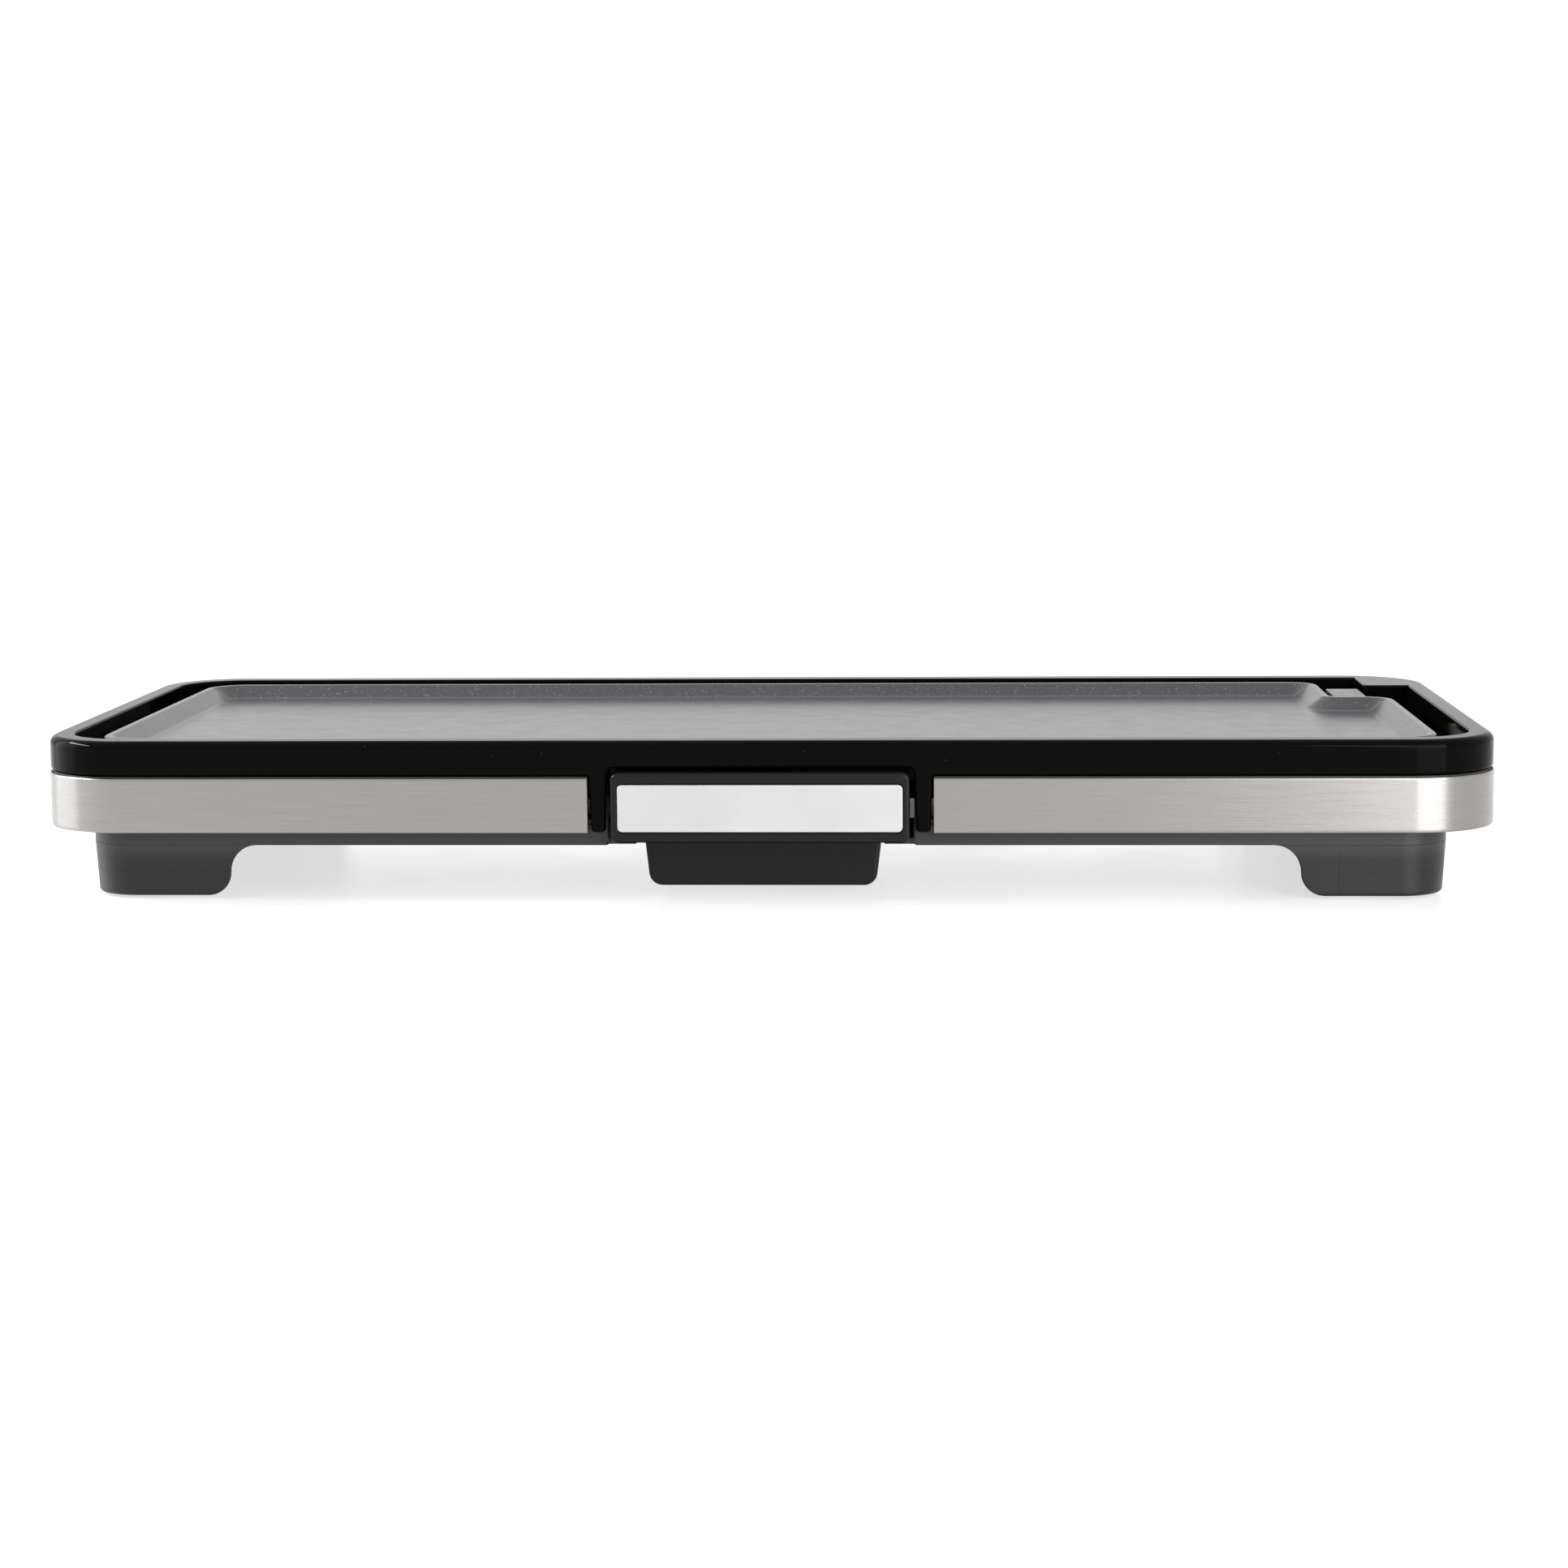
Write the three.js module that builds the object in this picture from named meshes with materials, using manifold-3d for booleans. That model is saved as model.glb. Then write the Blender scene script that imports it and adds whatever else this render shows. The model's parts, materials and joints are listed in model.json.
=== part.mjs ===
// Electric table griddle: a loose cast plate in a glossy frame over a plastic base, with a drip drawer at
// the front and a plug-in temperature controller at the rear right.
// Millimetres. X runs along the length, Y from the frame's front face (0) to the rear, Z up from the table.
// The finished group is shifted along Y so that its origin is under the middle of its bounding box.

import * as THREE from 'three';
import { mergeVertices } from 'three/addons/utils/BufferGeometryUtils.js';
import Module from 'manifold-3d';

const wasm = await Module();
wasm.setup();

// ---------------------------------------------------------------------------------------------------
// Driving dimensions
// ---------------------------------------------------------------------------------------------------

const GAP = 0.3;
const CORNER_STEPS = 6;
const SIDES = [-1, 1];

const BODY = { halfX: 295, depth: 254, corner: 36, top: 64.8 };
const BAND = { proud: 0.3, thickness: 0.8, bottom: 27.8, top: 49.8, frontEnd: 69.3 };
const FRAME = {
  skirt: 52.1,
  bottom: 50.8,
  chamfer: 1.5,
  fillet: 3.5,
  skin: 2.8,
  roof: 2.5,
  rimHalfX: 285,
  rimFront: 11,
  rimRear: 241,
  rimCorner: 26,
  innerWall: 2.2,
  innerBottom: 48,
};
const TAB = {
  bottom: 27.9,
  thickness: 2.4,
  topNear: 60.9,
  topFar: 68.6,
  footNear: 62.1,
  footFar: 67.9,
  radius: 1.5,
};
const PLATFORM = { left: 265, front: 206, wall: 2, corner: 3, holeY: 232, holeZ: 59, holeRadius: 1.5 };

const WALL = { inset: 0.8, thickness: 2.6, top: 50.4, flangeBottom: 28.1, flangeTop: 30.6 };
const PLINTH = {
  halfX: 275,
  front: 5,
  rear: 249,
  corner: 20,
  bottom: 22.1,
  skin: 2.5,
  lip: 20,
  lipTop: 32.9,
};
const FLOOR_TOP = PLINTH.bottom + PLINTH.skin;
const ROOTED = PLINTH.bottom + 0.5;
const LEG = { inner: 213, depth: 52, bottom: 1.2, fillet: 11, toe: 6, floor: 3.5 };
const FOOT = { x: 255.5, inset: 25, radius: 12, recess: 1.7, stem: 3 };

const BAY = {
  halfX: 61.3,
  depth: 8.4,
  trayHalfX: 50.6,
  trayRear: 121,
  cheekFront: 3.8,
  cheekRear: 19,
};
const CHEEK = { near: BAY.halfX + 0.1, far: BAY.halfX + 2.1, top: FRAME.innerBottom - 0.5 };
const TRAY = {
  front: 16,
  rear: 118,
  bottom: 3.8,
  top: 27,
  bottomHalfX: 46.4,
  topHalfX: 48.2,
  wall: 2,
  radius: 5.5,
  flangeHalfX: 55,
  flangeBottom: 25,
  flangeRear: 119.5,
  tabHalfX: 45,
  tabTop: 31,
};
const DRAWER = {
  halfX: 59.7,
  bottom: 23.9,
  top: 52.4,
  front: -4.2,
  rear: 8,
  corner: 3,
  skin: 2.7,
  shelfHalfX: 49,
};
const INSERT = { halfX: 56.9, bottom: 28.7, top: 47.8, front: -4.5, rear: -3.2, corner: 2 };
const RAIL = { near: 52.5, web: 55.6, far: 58.2, underLip: 27.4, top: 29.4, front: 20, rear: 118 };
const TRAY_SCREW = { x: 30, z: 27.8, radius: 1.2 };
const LATCH = { halfX: 7, rear: 140, crest: 30.2, tip: 119.2, sheet: 0.6, screwY: 134 };

const PLATE = {
  halfX: 271.5,
  front: 13,
  rear: 227,
  corner: 18,
  top: 64.3,
  floor: 58.8,
  underside: 53.3,
  rim: 3,
  slope: 7.5,
  skirt: 51.5,
  notchX: 245,
  notchY: 164.5,
  notchConvex: 13,
  notchConcave: 4,
};
const DRAIN = { halfX: 10, front: 28, rear: 38, lip: 2, bottom: 48.5 };
const REST = {
  x: 200,
  ys: [72.5, 167.5],
  postRadius: 6,
  capRadius: 7.6,
  capBottom: 45,
  capTop: 53,
  capRoof: 3.1,
};
const SHIELD = {
  halfX: 262,
  front: 20,
  rear: 236,
  corner: 20,
  bottom: 31,
  sheet: 0.8,
  rim: 8,
  notchX: 212,
  notchY: 158,
};
const SHIELD_SEAT = SHIELD.bottom + SHIELD.sheet + GAP;
const SHIELD_SCREWS = { x: 150, ys: [30, 220], boss: 4 };
const CHUTE = { halfX: 17, front: 22.5, rear: 43.5, bottom: 28.5, top: 52.2, sheet: 0.8, ear: 4 };

const ELEMENT = {
  radius: 3.3,
  height: 49.6,
  left: -226,
  right: 205,
  runs: [50, 93, 136, 180],
  corner: 12,
  sides: 8,
};
const BRACKET = { xs: [-140, 0, 140], thickness: 1.2, front: 45.5, rear: 195, notch: 3.8 };
const PIN = { xs: [229, 255], z: 40, radius: 2.5, front: 197.3, rear: 234 };
const BLOCK = { left: 219, right: 265, front: 198, rear: 208, bottom: 33, top: 47 };
const HOOD = { left: 248.3, right: 262.5, front: 168, rear: 209.9, bottom: 53.5, top: 62.8, wall: 1.5 };
const FUSE = { radius: 2.2, front: 182, rear: 200, z: 56.5 };
const EARTH = { left: 207, right: 211.5, front: 150, rear: 196, top: 41, sheet: 0.6 };
const SOCKET = { left: 221.5, right: 262.5, bottom: 29.5, top: 49, tabLeft: 216, tabRight: 268 };

const CONTROLLER = {
  x: 242,
  left: 208,
  right: 276,
  front: 257,
  rear: 316,
  corner: 14,
  bottom: 22,
  top: 50,
  split: 40,
  skin: 3,
  fillet: 3,
};
const NOSE = { left: 222.5, right: 261.5, front: 211.5, bottom: 31.5, top: 47.5 };
const PROBE = { radius: 3, front: 141, rear: 274.5 };
const DIAL = { y: 291, radius: 22, bottom: 50.4, top: 54.6, ridge: 0.8 };
const SPINDLE = { radius: 2.8, bottom: 44.3, top: 52.9 };
const SWITCH = { halfX: 14, front: -16, rear: 14, bottom: 29, top: 44 };
const LAMP = { y: 264, radius: 3 };
const CONTACT = { front: 213.5, rear: 239, radius: 3.6 };
const CASE_SCREW = { inset: 9.5, y: 303, boss: 4, radius: 1.2, length: 20 };
const GLAND = { bore: 4, neck: 6, collar: 8, rear: 321 };

const FRAME_SCREW = { x: 279, inset: 16, post: 3.2, top: 46 };
const PILOT_RADIUS = 1.6;
const COUNTERBORE_RADIUS = 3.4;
const ORIGIN_Y = (INSERT.front + GLAND.rear) / 2;

// ---------------------------------------------------------------------------------------------------
// Materials
// ---------------------------------------------------------------------------------------------------

function material(color, roughness, metalness) {
  return new THREE.MeshStandardMaterial({ color, roughness, metalness });
}

const MATERIALS = {
  gloss: material(0x0b0b0c, 0.08, 0),
  charcoal: material(0x3c3d3e, 0.5, 0),
  satinBlack: material(0x1d1d1c, 0.4, 0),
  steel: material(0xa09d99, 0.32, 1),
  silver: material(0xd6d7d8, 0.3, 1),
  nonstick: material(0x4a4b50, 0.42, 0.3),
  rubber: material(0x1a1a1a, 0.9, 0),
  silicone: material(0x7a3a2c, 0.7, 0),
  zinc: material(0xb8bcc0, 0.35, 1),
  sheet: material(0xb0b3b5, 0.4, 1),
  element: material(0x4b4d48, 0.55, 0.8),
  ceramic: material(0xe4dfd2, 0.6, 0),
  brass: material(0xb59a55, 0.35, 1),
  lens: material(0xc83a1c, 0.15, 0),
};

// ---------------------------------------------------------------------------------------------------
// Solids: closed three.js geometry in, joined or cut solid out
// ---------------------------------------------------------------------------------------------------

function solidOf(geometry) {
  geometry.deleteAttribute('normal');
  geometry.deleteAttribute('uv');
  const merged = mergeVertices(geometry, 1e-4);
  const index = merged.index.array;
  const triangles = [];
  for (let i = 0; i < index.length; i += 3) {
    const [a, b, c] = [index[i], index[i + 1], index[i + 2]];
    if (a !== b && b !== c && c !== a) {
      triangles.push(a, b, c);
    }
  }
  const mesh = new wasm.Mesh({
    numProp: 3,
    vertProperties: merged.attributes.position.array,
    triVerts: Uint32Array.from(triangles),
  });
  return new wasm.Manifold(mesh);
}

function geometryOf(solid) {
  const mesh = solid.getMesh();
  const geometry = new THREE.BufferGeometry();
  geometry.setAttribute('position', new THREE.BufferAttribute(mesh.vertProperties, 3));
  geometry.setIndex(new THREE.BufferAttribute(mesh.triVerts, 1));
  geometry.computeVertexNormals();
  return geometry;
}

function join(...solids) {
  return solids.reduce((whole, piece) => whole.add(piece));
}

function cut(solid, ...tools) {
  return tools.reduce((rest, tool) => rest.subtract(tool), solid);
}

function common(...solids) {
  return solids.reduce((rest, piece) => rest.intersect(piece));
}

function arc(x, y, radius, from, to, steps = CORNER_STEPS) {
  const points = [];
  for (let i = 0; i <= steps; i += 1) {
    const angle = THREE.MathUtils.degToRad(from + ((to - from) * i) / steps);
    points.push(new THREE.Vector2(x + radius * Math.cos(angle), y + radius * Math.sin(angle)));
  }
  return points;
}

function roundedRect(x0, x1, y0, y1, radius, steps = CORNER_STEPS) {
  return [
    ...arc(x0 + radius, y0 + radius, radius, 180, 270, steps),
    ...arc(x1 - radius, y0 + radius, radius, 270, 360, steps),
    ...arc(x1 - radius, y1 - radius, radius, 0, 90, steps),
    ...arc(x0 + radius, y1 - radius, radius, 90, 180, steps),
  ];
}

function polygon(...pairs) {
  return pairs.map(([x, y]) => new THREE.Vector2(x, y));
}

function extrusion(points, depth) {
  return new THREE.ExtrudeGeometry(new THREE.Shape(points), { depth, bevelEnabled: false });
}

function prismZ(points, z0, z1) {
  return solidOf(extrusion(points, z1 - z0).translate(0, 0, z0));
}

// The outline is given in X and Z.
function prismY(points, y0, y1) {
  return solidOf(extrusion(points, y1 - y0).rotateX(Math.PI / 2).translate(0, y1, 0));
}

// The outline is given in Y and Z.
function prismX(points, x0, x1) {
  const turn = new THREE.Matrix4().makeBasis(
    new THREE.Vector3(0, 1, 0),
    new THREE.Vector3(0, 0, 1),
    new THREE.Vector3(1, 0, 0),
  );
  return solidOf(extrusion(points, x1 - x0).applyMatrix4(turn).translate(x0, 0, 0));
}

// A prism whose ends are drawn in by `size` over a height of `thickness`; `points` is the small end.
function beveledPrism(points, z0, z1, size, thickness, segments) {
  const depth = z1 - z0 - 2 * thickness;
  const options = { depth, bevelSize: size, bevelThickness: thickness, bevelSegments: segments };
  const geometry = new THREE.ExtrudeGeometry(new THREE.Shape(points), options);
  return solidOf(geometry.translate(0, 0, z0 + thickness));
}

function box(x0, x1, y0, y1, z0, z1) {
  const geometry = new THREE.BoxGeometry(x1 - x0, y1 - y0, z1 - z0);
  return solidOf(geometry.translate((x0 + x1) / 2, (y0 + y1) / 2, (z0 + z1) / 2));
}

function rodZ(x, y, radius, z0, z1, sides = 12) {
  const geometry = new THREE.CylinderGeometry(radius, radius, z1 - z0, sides);
  return solidOf(geometry.rotateX(Math.PI / 2).translate(x, y, (z0 + z1) / 2));
}

function rodY(x, z, radius, y0, y1, sides = 12) {
  const geometry = new THREE.CylinderGeometry(radius, radius, y1 - y0, sides);
  return solidOf(geometry.translate(x, (y0 + y1) / 2, z));
}

function rodX(y, z, radius, x0, x1, sides = 8) {
  const geometry = new THREE.CylinderGeometry(radius, radius, x1 - x0, sides);
  return solidOf(geometry.rotateZ(Math.PI / 2).translate((x0 + x1) / 2, y, z));
}

// Profile points are radius and height above the piece's own origin, from the top of the axis downwards.
function turnedZ(profile, sides = 16) {
  const points = profile.map(([radius, z]) => new THREE.Vector2(radius, z)).reverse();
  return solidOf(new THREE.LatheGeometry(points, sides).rotateX(Math.PI / 2));
}

// ---------------------------------------------------------------------------------------------------
// Outlines that several pieces share
// ---------------------------------------------------------------------------------------------------

function bodyOutline(inset) {
  const edge = BODY.halfX - inset;
  return roundedRect(-edge, edge, inset, BODY.depth - inset, BODY.corner - inset);
}

function rimOutline(outset) {
  const edge = FRAME.rimHalfX + outset;
  return roundedRect(-edge, edge, FRAME.rimFront - outset, FRAME.rimRear + outset, FRAME.rimCorner + outset);
}

function plinthOutline(inset) {
  const edge = PLINTH.halfX - inset;
  return roundedRect(-edge, edge, PLINTH.front + inset, PLINTH.rear - inset, PLINTH.corner - inset);
}

// The plate's outline with its square notch at the rear right corner.
function plateOutline(inset) {
  const main = PLATE.corner - inset;
  const convex = PLATE.notchConvex - inset;
  const concave = PLATE.notchConcave + inset;
  const [sideX, notchX] = [PLATE.halfX - PLATE.corner, PLATE.notchX - PLATE.notchConvex];
  return [
    ...arc(-sideX, PLATE.front + PLATE.corner, main, 180, 270),
    ...arc(sideX, PLATE.front + PLATE.corner, main, 270, 360),
    ...arc(PLATE.halfX - PLATE.notchConvex, PLATE.notchY - PLATE.notchConvex, convex, 0, 90),
    ...arc(PLATE.notchX + PLATE.notchConcave, PLATE.notchY + PLATE.notchConcave, concave, 270, 180),
    ...arc(notchX, PLATE.rear - PLATE.notchConvex, convex, 0, 90),
    ...arc(-sideX, PLATE.rear - PLATE.corner, main, 90, 180),
  ];
}

// ---------------------------------------------------------------------------------------------------
// Frame and bands
// ---------------------------------------------------------------------------------------------------

function frameTab(side) {
  const { topNear, topFar, footNear, footFar, bottom, radius } = TAB;
  const points = [
    new THREE.Vector2(topNear, FRAME.skirt + 1),
    ...arc(footNear + radius, bottom + radius, radius, 180, 270, 3),
    ...arc(footFar - radius, bottom + radius, radius, 270, 360, 3),
    new THREE.Vector2(topFar, FRAME.skirt + 1),
  ];
  const outline = points.map((point) => new THREE.Vector2(side * point.x, point.y));
  return prismY(side > 0 ? outline : outline.reverse(), 0, TAB.thickness);
}

function framePlatform() {
  const { left, front, wall, corner } = PLATFORM;
  const inside = roundedRect(left + wall, BODY.halfX, front + wall, BODY.depth, corner - wall / 2, 3);
  const outside = roundedRect(left, BODY.halfX, front, BODY.depth, corner, 3);
  const block = prismZ(outside, FRAME.innerBottom, BODY.top);
  const hollow = prismZ(inside, FRAME.innerBottom - 1, BODY.top - FRAME.roof);
  const inRim = prismZ(rimOutline(FRAME.innerWall / 2), FRAME.innerBottom - 1, BODY.top + 1);
  const hole = rodX(PLATFORM.holeY, PLATFORM.holeZ, PLATFORM.holeRadius, left - 1, left + wall + 1);
  return cut(common(block, inRim), hollow, hole);
}

function socketTab() {
  const { left, right, bottom, top, tabLeft, tabRight } = SOCKET;
  const rear = BODY.depth;
  const panel = box(tabLeft, tabRight, rear - TAB.thickness, rear + 1, TAB.bottom, FRAME.skirt + 1);
  const opening = box(left, right, rear - 5, rear + 5, bottom, top);
  return cut(common(panel, prismZ(bodyOutline(0), 0, BODY.top)), opening);
}

function topFrame() {
  const domed = beveledPrism(bodyOutline(FRAME.fillet), 40, BODY.top, FRAME.fillet, FRAME.fillet, 3);
  const crown = common(domed, prismZ(bodyOutline(-1), FRAME.skirt, BODY.top + 1));
  const chamfered = prismZ(bodyOutline(FRAME.chamfer), FRAME.bottom, FRAME.skirt + 0.5);
  const collar = prismZ(rimOutline(FRAME.innerWall), FRAME.innerBottom, BODY.top - 1);
  const ring = join(crown, chamfered, collar);
  const channel = cut(
    prismZ(bodyOutline(FRAME.skin), FRAME.innerBottom - 1, BODY.top - FRAME.roof),
    prismZ(rimOutline(FRAME.innerWall), FRAME.innerBottom - 2, BODY.top),
  );
  const opening = prismZ(rimOutline(0), FRAME.innerBottom - 1, BODY.top + 1);
  const lintel = roundedRect(-BAY.halfX, BAY.halfX, FRAME.bottom - 10, FRAME.skirt + 1.6, 2, 3);
  const drawerRelief = prismY(lintel, -1, FRAME.skin + 0.4);
  const shell = cut(ring, channel, opening, drawerRelief);
  const posts = [];
  const holes = [];
  for (const side of SIDES) {
    for (const y of [FRAME_SCREW.inset, BODY.depth - FRAME_SCREW.inset]) {
      const x = side * FRAME_SCREW.x;
      posts.push(rodZ(x, y, FRAME_SCREW.post, PLINTH.lipTop + GAP, BODY.top - 2));
      holes.push(rodZ(x, y, PILOT_RADIUS, PLINTH.lipTop, FRAME_SCREW.top, 8));
    }
  }
  const tabs = SIDES.map((side) => frameTab(side));
  return cut(join(shell, framePlatform(), socketTab(), ...tabs, ...posts), ...holes);
}

function bandRing() {
  const outer = prismZ(bodyOutline(-BAND.proud), BAND.bottom, BAND.top);
  return cut(outer, prismZ(bodyOutline(BAND.thickness - BAND.proud), BAND.bottom - 1, BAND.top + 1));
}

// The left strip runs from the drawer round the left side and along the rear up to the socket.
function bandLeft() {
  const middle = BODY.depth / 2;
  return cut(
    bandRing(),
    box(-BAND.frontEnd, BODY.halfX + 5, -5, middle, 0, BODY.top),
    box(SOCKET.tabLeft - 2, BODY.halfX + 5, middle - 1, BODY.depth + 5, 0, BODY.top),
  );
}

function bandRight() {
  const middle = BODY.depth / 2;
  return cut(
    bandRing(),
    box(-BODY.halfX - 5, BAND.frontEnd, -5, middle, 0, BODY.top),
    box(-BODY.halfX - 5, SOCKET.tabRight + 2, middle - 1, BODY.depth + 5, 0, BODY.top),
  );
}

// ---------------------------------------------------------------------------------------------------
// Base, legs and what is screwed to them
// ---------------------------------------------------------------------------------------------------

// Side view of one leg seen along the other axis: hollow fillet under the floor, round toe at the table.
function legProfile(inner, outer) {
  const direction = Math.sign(outer - inner);
  const points = [
    ...arc(-LEG.fillet, PLINTH.bottom - LEG.fillet, LEG.fillet, 90, 0),
    ...arc(LEG.toe, LEG.bottom + LEG.toe, LEG.toe, 180, 270, 4),
    new THREE.Vector2(Math.abs(outer - inner), LEG.bottom),
    new THREE.Vector2(Math.abs(outer - inner), FLOOR_TOP),
    new THREE.Vector2(-LEG.fillet, FLOOR_TOP),
  ];
  const placed = points.map((point) => new THREE.Vector2(inner + direction * point.x, point.y));
  return direction > 0 ? placed : placed.reverse();
}

function legLimits(side, end) {
  const outerY = end < 0 ? 0 : BODY.depth;
  const innerY = end < 0 ? PLINTH.front + LEG.depth : PLINTH.rear - LEG.depth;
  return { outerX: side * BODY.halfX, innerX: side * LEG.inner, outerY, innerY };
}

function legOuter(side, end) {
  const { outerX, innerX, outerY, innerY } = legLimits(side, end);
  return common(
    prismY(legProfile(innerX, outerX), -1, BODY.depth + 1),
    prismX(legProfile(innerY, outerY), -BODY.halfX, BODY.halfX),
    prismZ(plinthOutline(0), 0, FLOOR_TOP),
  );
}

function legHollow(side, end) {
  const { outerX, innerX, outerY, innerY } = legLimits(side, end);
  const nearX = innerX + side * PLINTH.skin;
  const nearY = innerY + end * PLINTH.skin;
  const room = box(
    Math.min(nearX, outerX),
    Math.max(nearX, outerX),
    Math.min(nearY, outerY),
    Math.max(nearY, outerY),
    LEG.bottom + LEG.floor,
    FLOOR_TOP + 1,
  );
  return common(room, prismZ(plinthOutline(PLINTH.skin), 0, BODY.top));
}

function footY(end) {
  return end < 0 ? PLINTH.front + FOOT.inset : PLINTH.rear - FOOT.inset;
}

// An open cup that is clipped up against the floor, flush with the plinth on its outer sides.
function leg(side, end) {
  const [x, y] = [side * FOOT.x, footY(end)];
  const below = box(-BODY.halfX, BODY.halfX, 0, BODY.depth, 0, PLINTH.bottom - GAP);
  return cut(
    common(legOuter(side, end), below),
    legHollow(side, end),
    rodZ(x, y, FOOT.radius + 0.4, 0, LEG.bottom + FOOT.recess, 20),
    rodZ(x, y, FOOT.stem + GAP, 0, LEG.bottom + LEG.floor + 1, 10),
  );
}

function frameScrewY(end) {
  return end < 0 ? FRAME_SCREW.inset : BODY.depth - FRAME_SCREW.inset;
}

// The wall behind the steel bands, with a flange at its foot that the plinth's lip lies on.
function sideShell() {
  const wall = cut(
    prismZ(bodyOutline(WALL.inset), WALL.flangeBottom, WALL.top),
    prismZ(bodyOutline(WALL.inset + WALL.thickness), WALL.flangeTop, WALL.top + 1),
    prismZ(plinthOutline(-GAP), WALL.flangeBottom - 1, WALL.flangeTop + 1),
  );
  const tools = [
    box(-CHEEK.far - GAP, CHEEK.far + GAP, -1, BAY.depth, 0, WALL.top + 1),
    box(-BAND.frontEnd, BAND.frontEnd, -1, BAY.cheekFront - GAP, TAB.bottom - 0.1, WALL.top + 1),
    box(
      SOCKET.tabLeft - GAP,
      SOCKET.tabRight + GAP,
      BODY.depth - 4,
      BODY.depth + 1,
      TAB.bottom - GAP,
      WALL.top + 1,
    ),
  ];
  for (const side of SIDES) {
    for (const end of SIDES) {
      const [x, y] = [side * FRAME_SCREW.x, frameScrewY(end)];
      tools.push(rodZ(x, y, COUNTERBORE_RADIUS, WALL.flangeBottom - 1, WALL.flangeBottom + 1.5));
      tools.push(rodZ(x, y, PILOT_RADIUS, WALL.flangeBottom, WALL.flangeTop + 1, 8));
    }
  }
  return cut(wall, ...tools);
}

// Floor and plinth in one moulding, with the posts and bosses that stand on the floor.
function baseHousing() {
  const room = prismZ(plinthOutline(PLINTH.skin), FLOOR_TOP, PLINTH.lipTop + 1);
  const fittings = [];
  const holes = [];
  for (const side of SIDES) {
    for (const end of SIDES) {
      const screwX = side * FRAME_SCREW.x;
      holes.push(rodZ(screwX, frameScrewY(end), PILOT_RADIUS, WALL.flangeTop, PLINTH.lipTop + 1, 8));
    }
    for (const y of REST.ys) {
      fittings.push(rodZ(side * REST.x, y, REST.postRadius, ROOTED, REST.capTop - REST.capRoof - GAP));
    }
    for (const y of SHIELD_SCREWS.ys) {
      fittings.push(rodZ(side * SHIELD_SCREWS.x, y, SHIELD_SCREWS.boss, ROOTED, SHIELD.bottom - GAP));
      holes.push(rodZ(side * SHIELD_SCREWS.x, y, PILOT_RADIUS, ROOTED + 1, SHIELD.bottom, 8));
    }
    const [left, right] = side < 0 ? [-CHEEK.far, -CHEEK.near] : [CHEEK.near, CHEEK.far];
    fittings.push(box(left, right, BAY.cheekFront, BAY.cheekRear, ROOTED, CHEEK.top));
  }
  fittings.push(box(BLOCK.left, BLOCK.right, BLOCK.front + 1, BLOCK.rear - 1, ROOTED, BLOCK.bottom - GAP));
  holes.push(rodZ(0, LATCH.screwY, PILOT_RADIUS, PLINTH.bottom - 1, FLOOR_TOP + 1, 8));
  const plinth = prismZ(plinthOutline(0), PLINTH.bottom, PLINTH.lipTop);
  const lip = common(
    prismZ(plinthOutline(-PLINTH.lip), WALL.flangeTop + GAP, PLINTH.lipTop),
    prismZ(bodyOutline(WALL.inset + WALL.thickness + GAP), 0, BODY.top),
  );
  const bays = [
    box(-BAY.halfX, BAY.halfX, -1, BAY.depth, 0, WALL.top + 1),
    box(-BAND.frontEnd, BAND.frontEnd, -1, BAY.cheekFront, PLINTH.lipTop - 5, WALL.top + 1),
    box(-BAY.trayHalfX, BAY.trayHalfX, -1, BAY.trayRear, 0, FLOOR_TOP + 1),
    box(
      SOCKET.left,
      SOCKET.right,
      PLINTH.rear - PLINTH.corner / 3,
      BODY.depth,
      WALL.flangeTop + GAP,
      PLINTH.lipTop + 1,
    ),
  ];
  const shell = cut(join(plinth, lip), room, ...bays);
  return cut(join(shell, ...fittings), ...holes);
}

function rubberFoot() {
  const { radius, stem, recess } = FOOT;
  const top = LEG.bottom + recess - GAP;
  return turnedZ([[0, 7], [stem, 7], [stem, top], [radius, top], [radius, 1], [radius - 1, 0], [0, 0]], 20);
}

function restCap() {
  const { capRadius, capTop, capBottom, postRadius } = REST;
  const bore = postRadius + GAP;
  const roof = capTop - REST.capRoof;
  return turnedZ([
    [0, capTop],
    [capRadius - 1.1, capTop],
    [capRadius, capTop - 1.1],
    [capRadius, capBottom],
    [bore, capBottom],
    [bore, roof],
    [0, roof],
  ]);
}

function heatShield() {
  const { halfX, front, rear, corner, bottom, sheet, rim, notchX, notchY } = SHIELD;
  const pan = (inset, z0, z1) => {
    const points = roundedRect(-halfX + inset, halfX - inset, front + inset, rear - inset, corner - inset);
    return prismZ(points, z0, z1);
  };
  const tools = [
    pan(sheet, bottom + sheet, bottom + rim + 1),
    box(notchX, halfX + 5, notchY, rear + 5, 0, BODY.top),
    box(-CHUTE.halfX - 0.6, CHUTE.halfX + 0.6, CHUTE.front - 0.6, CHUTE.rear + 0.6, 0, BODY.top),
  ];
  for (const side of SIDES) {
    for (const y of REST.ys) {
      tools.push(rodZ(side * REST.x, y, REST.postRadius + 0.8, 0, BODY.top));
    }
    for (const y of SHIELD_SCREWS.ys) {
      tools.push(rodZ(side * SHIELD_SCREWS.x, y, PILOT_RADIUS, 0, BODY.top, 8));
    }
  }
  return cut(pan(0, bottom, bottom + rim), ...tools);
}

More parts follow.
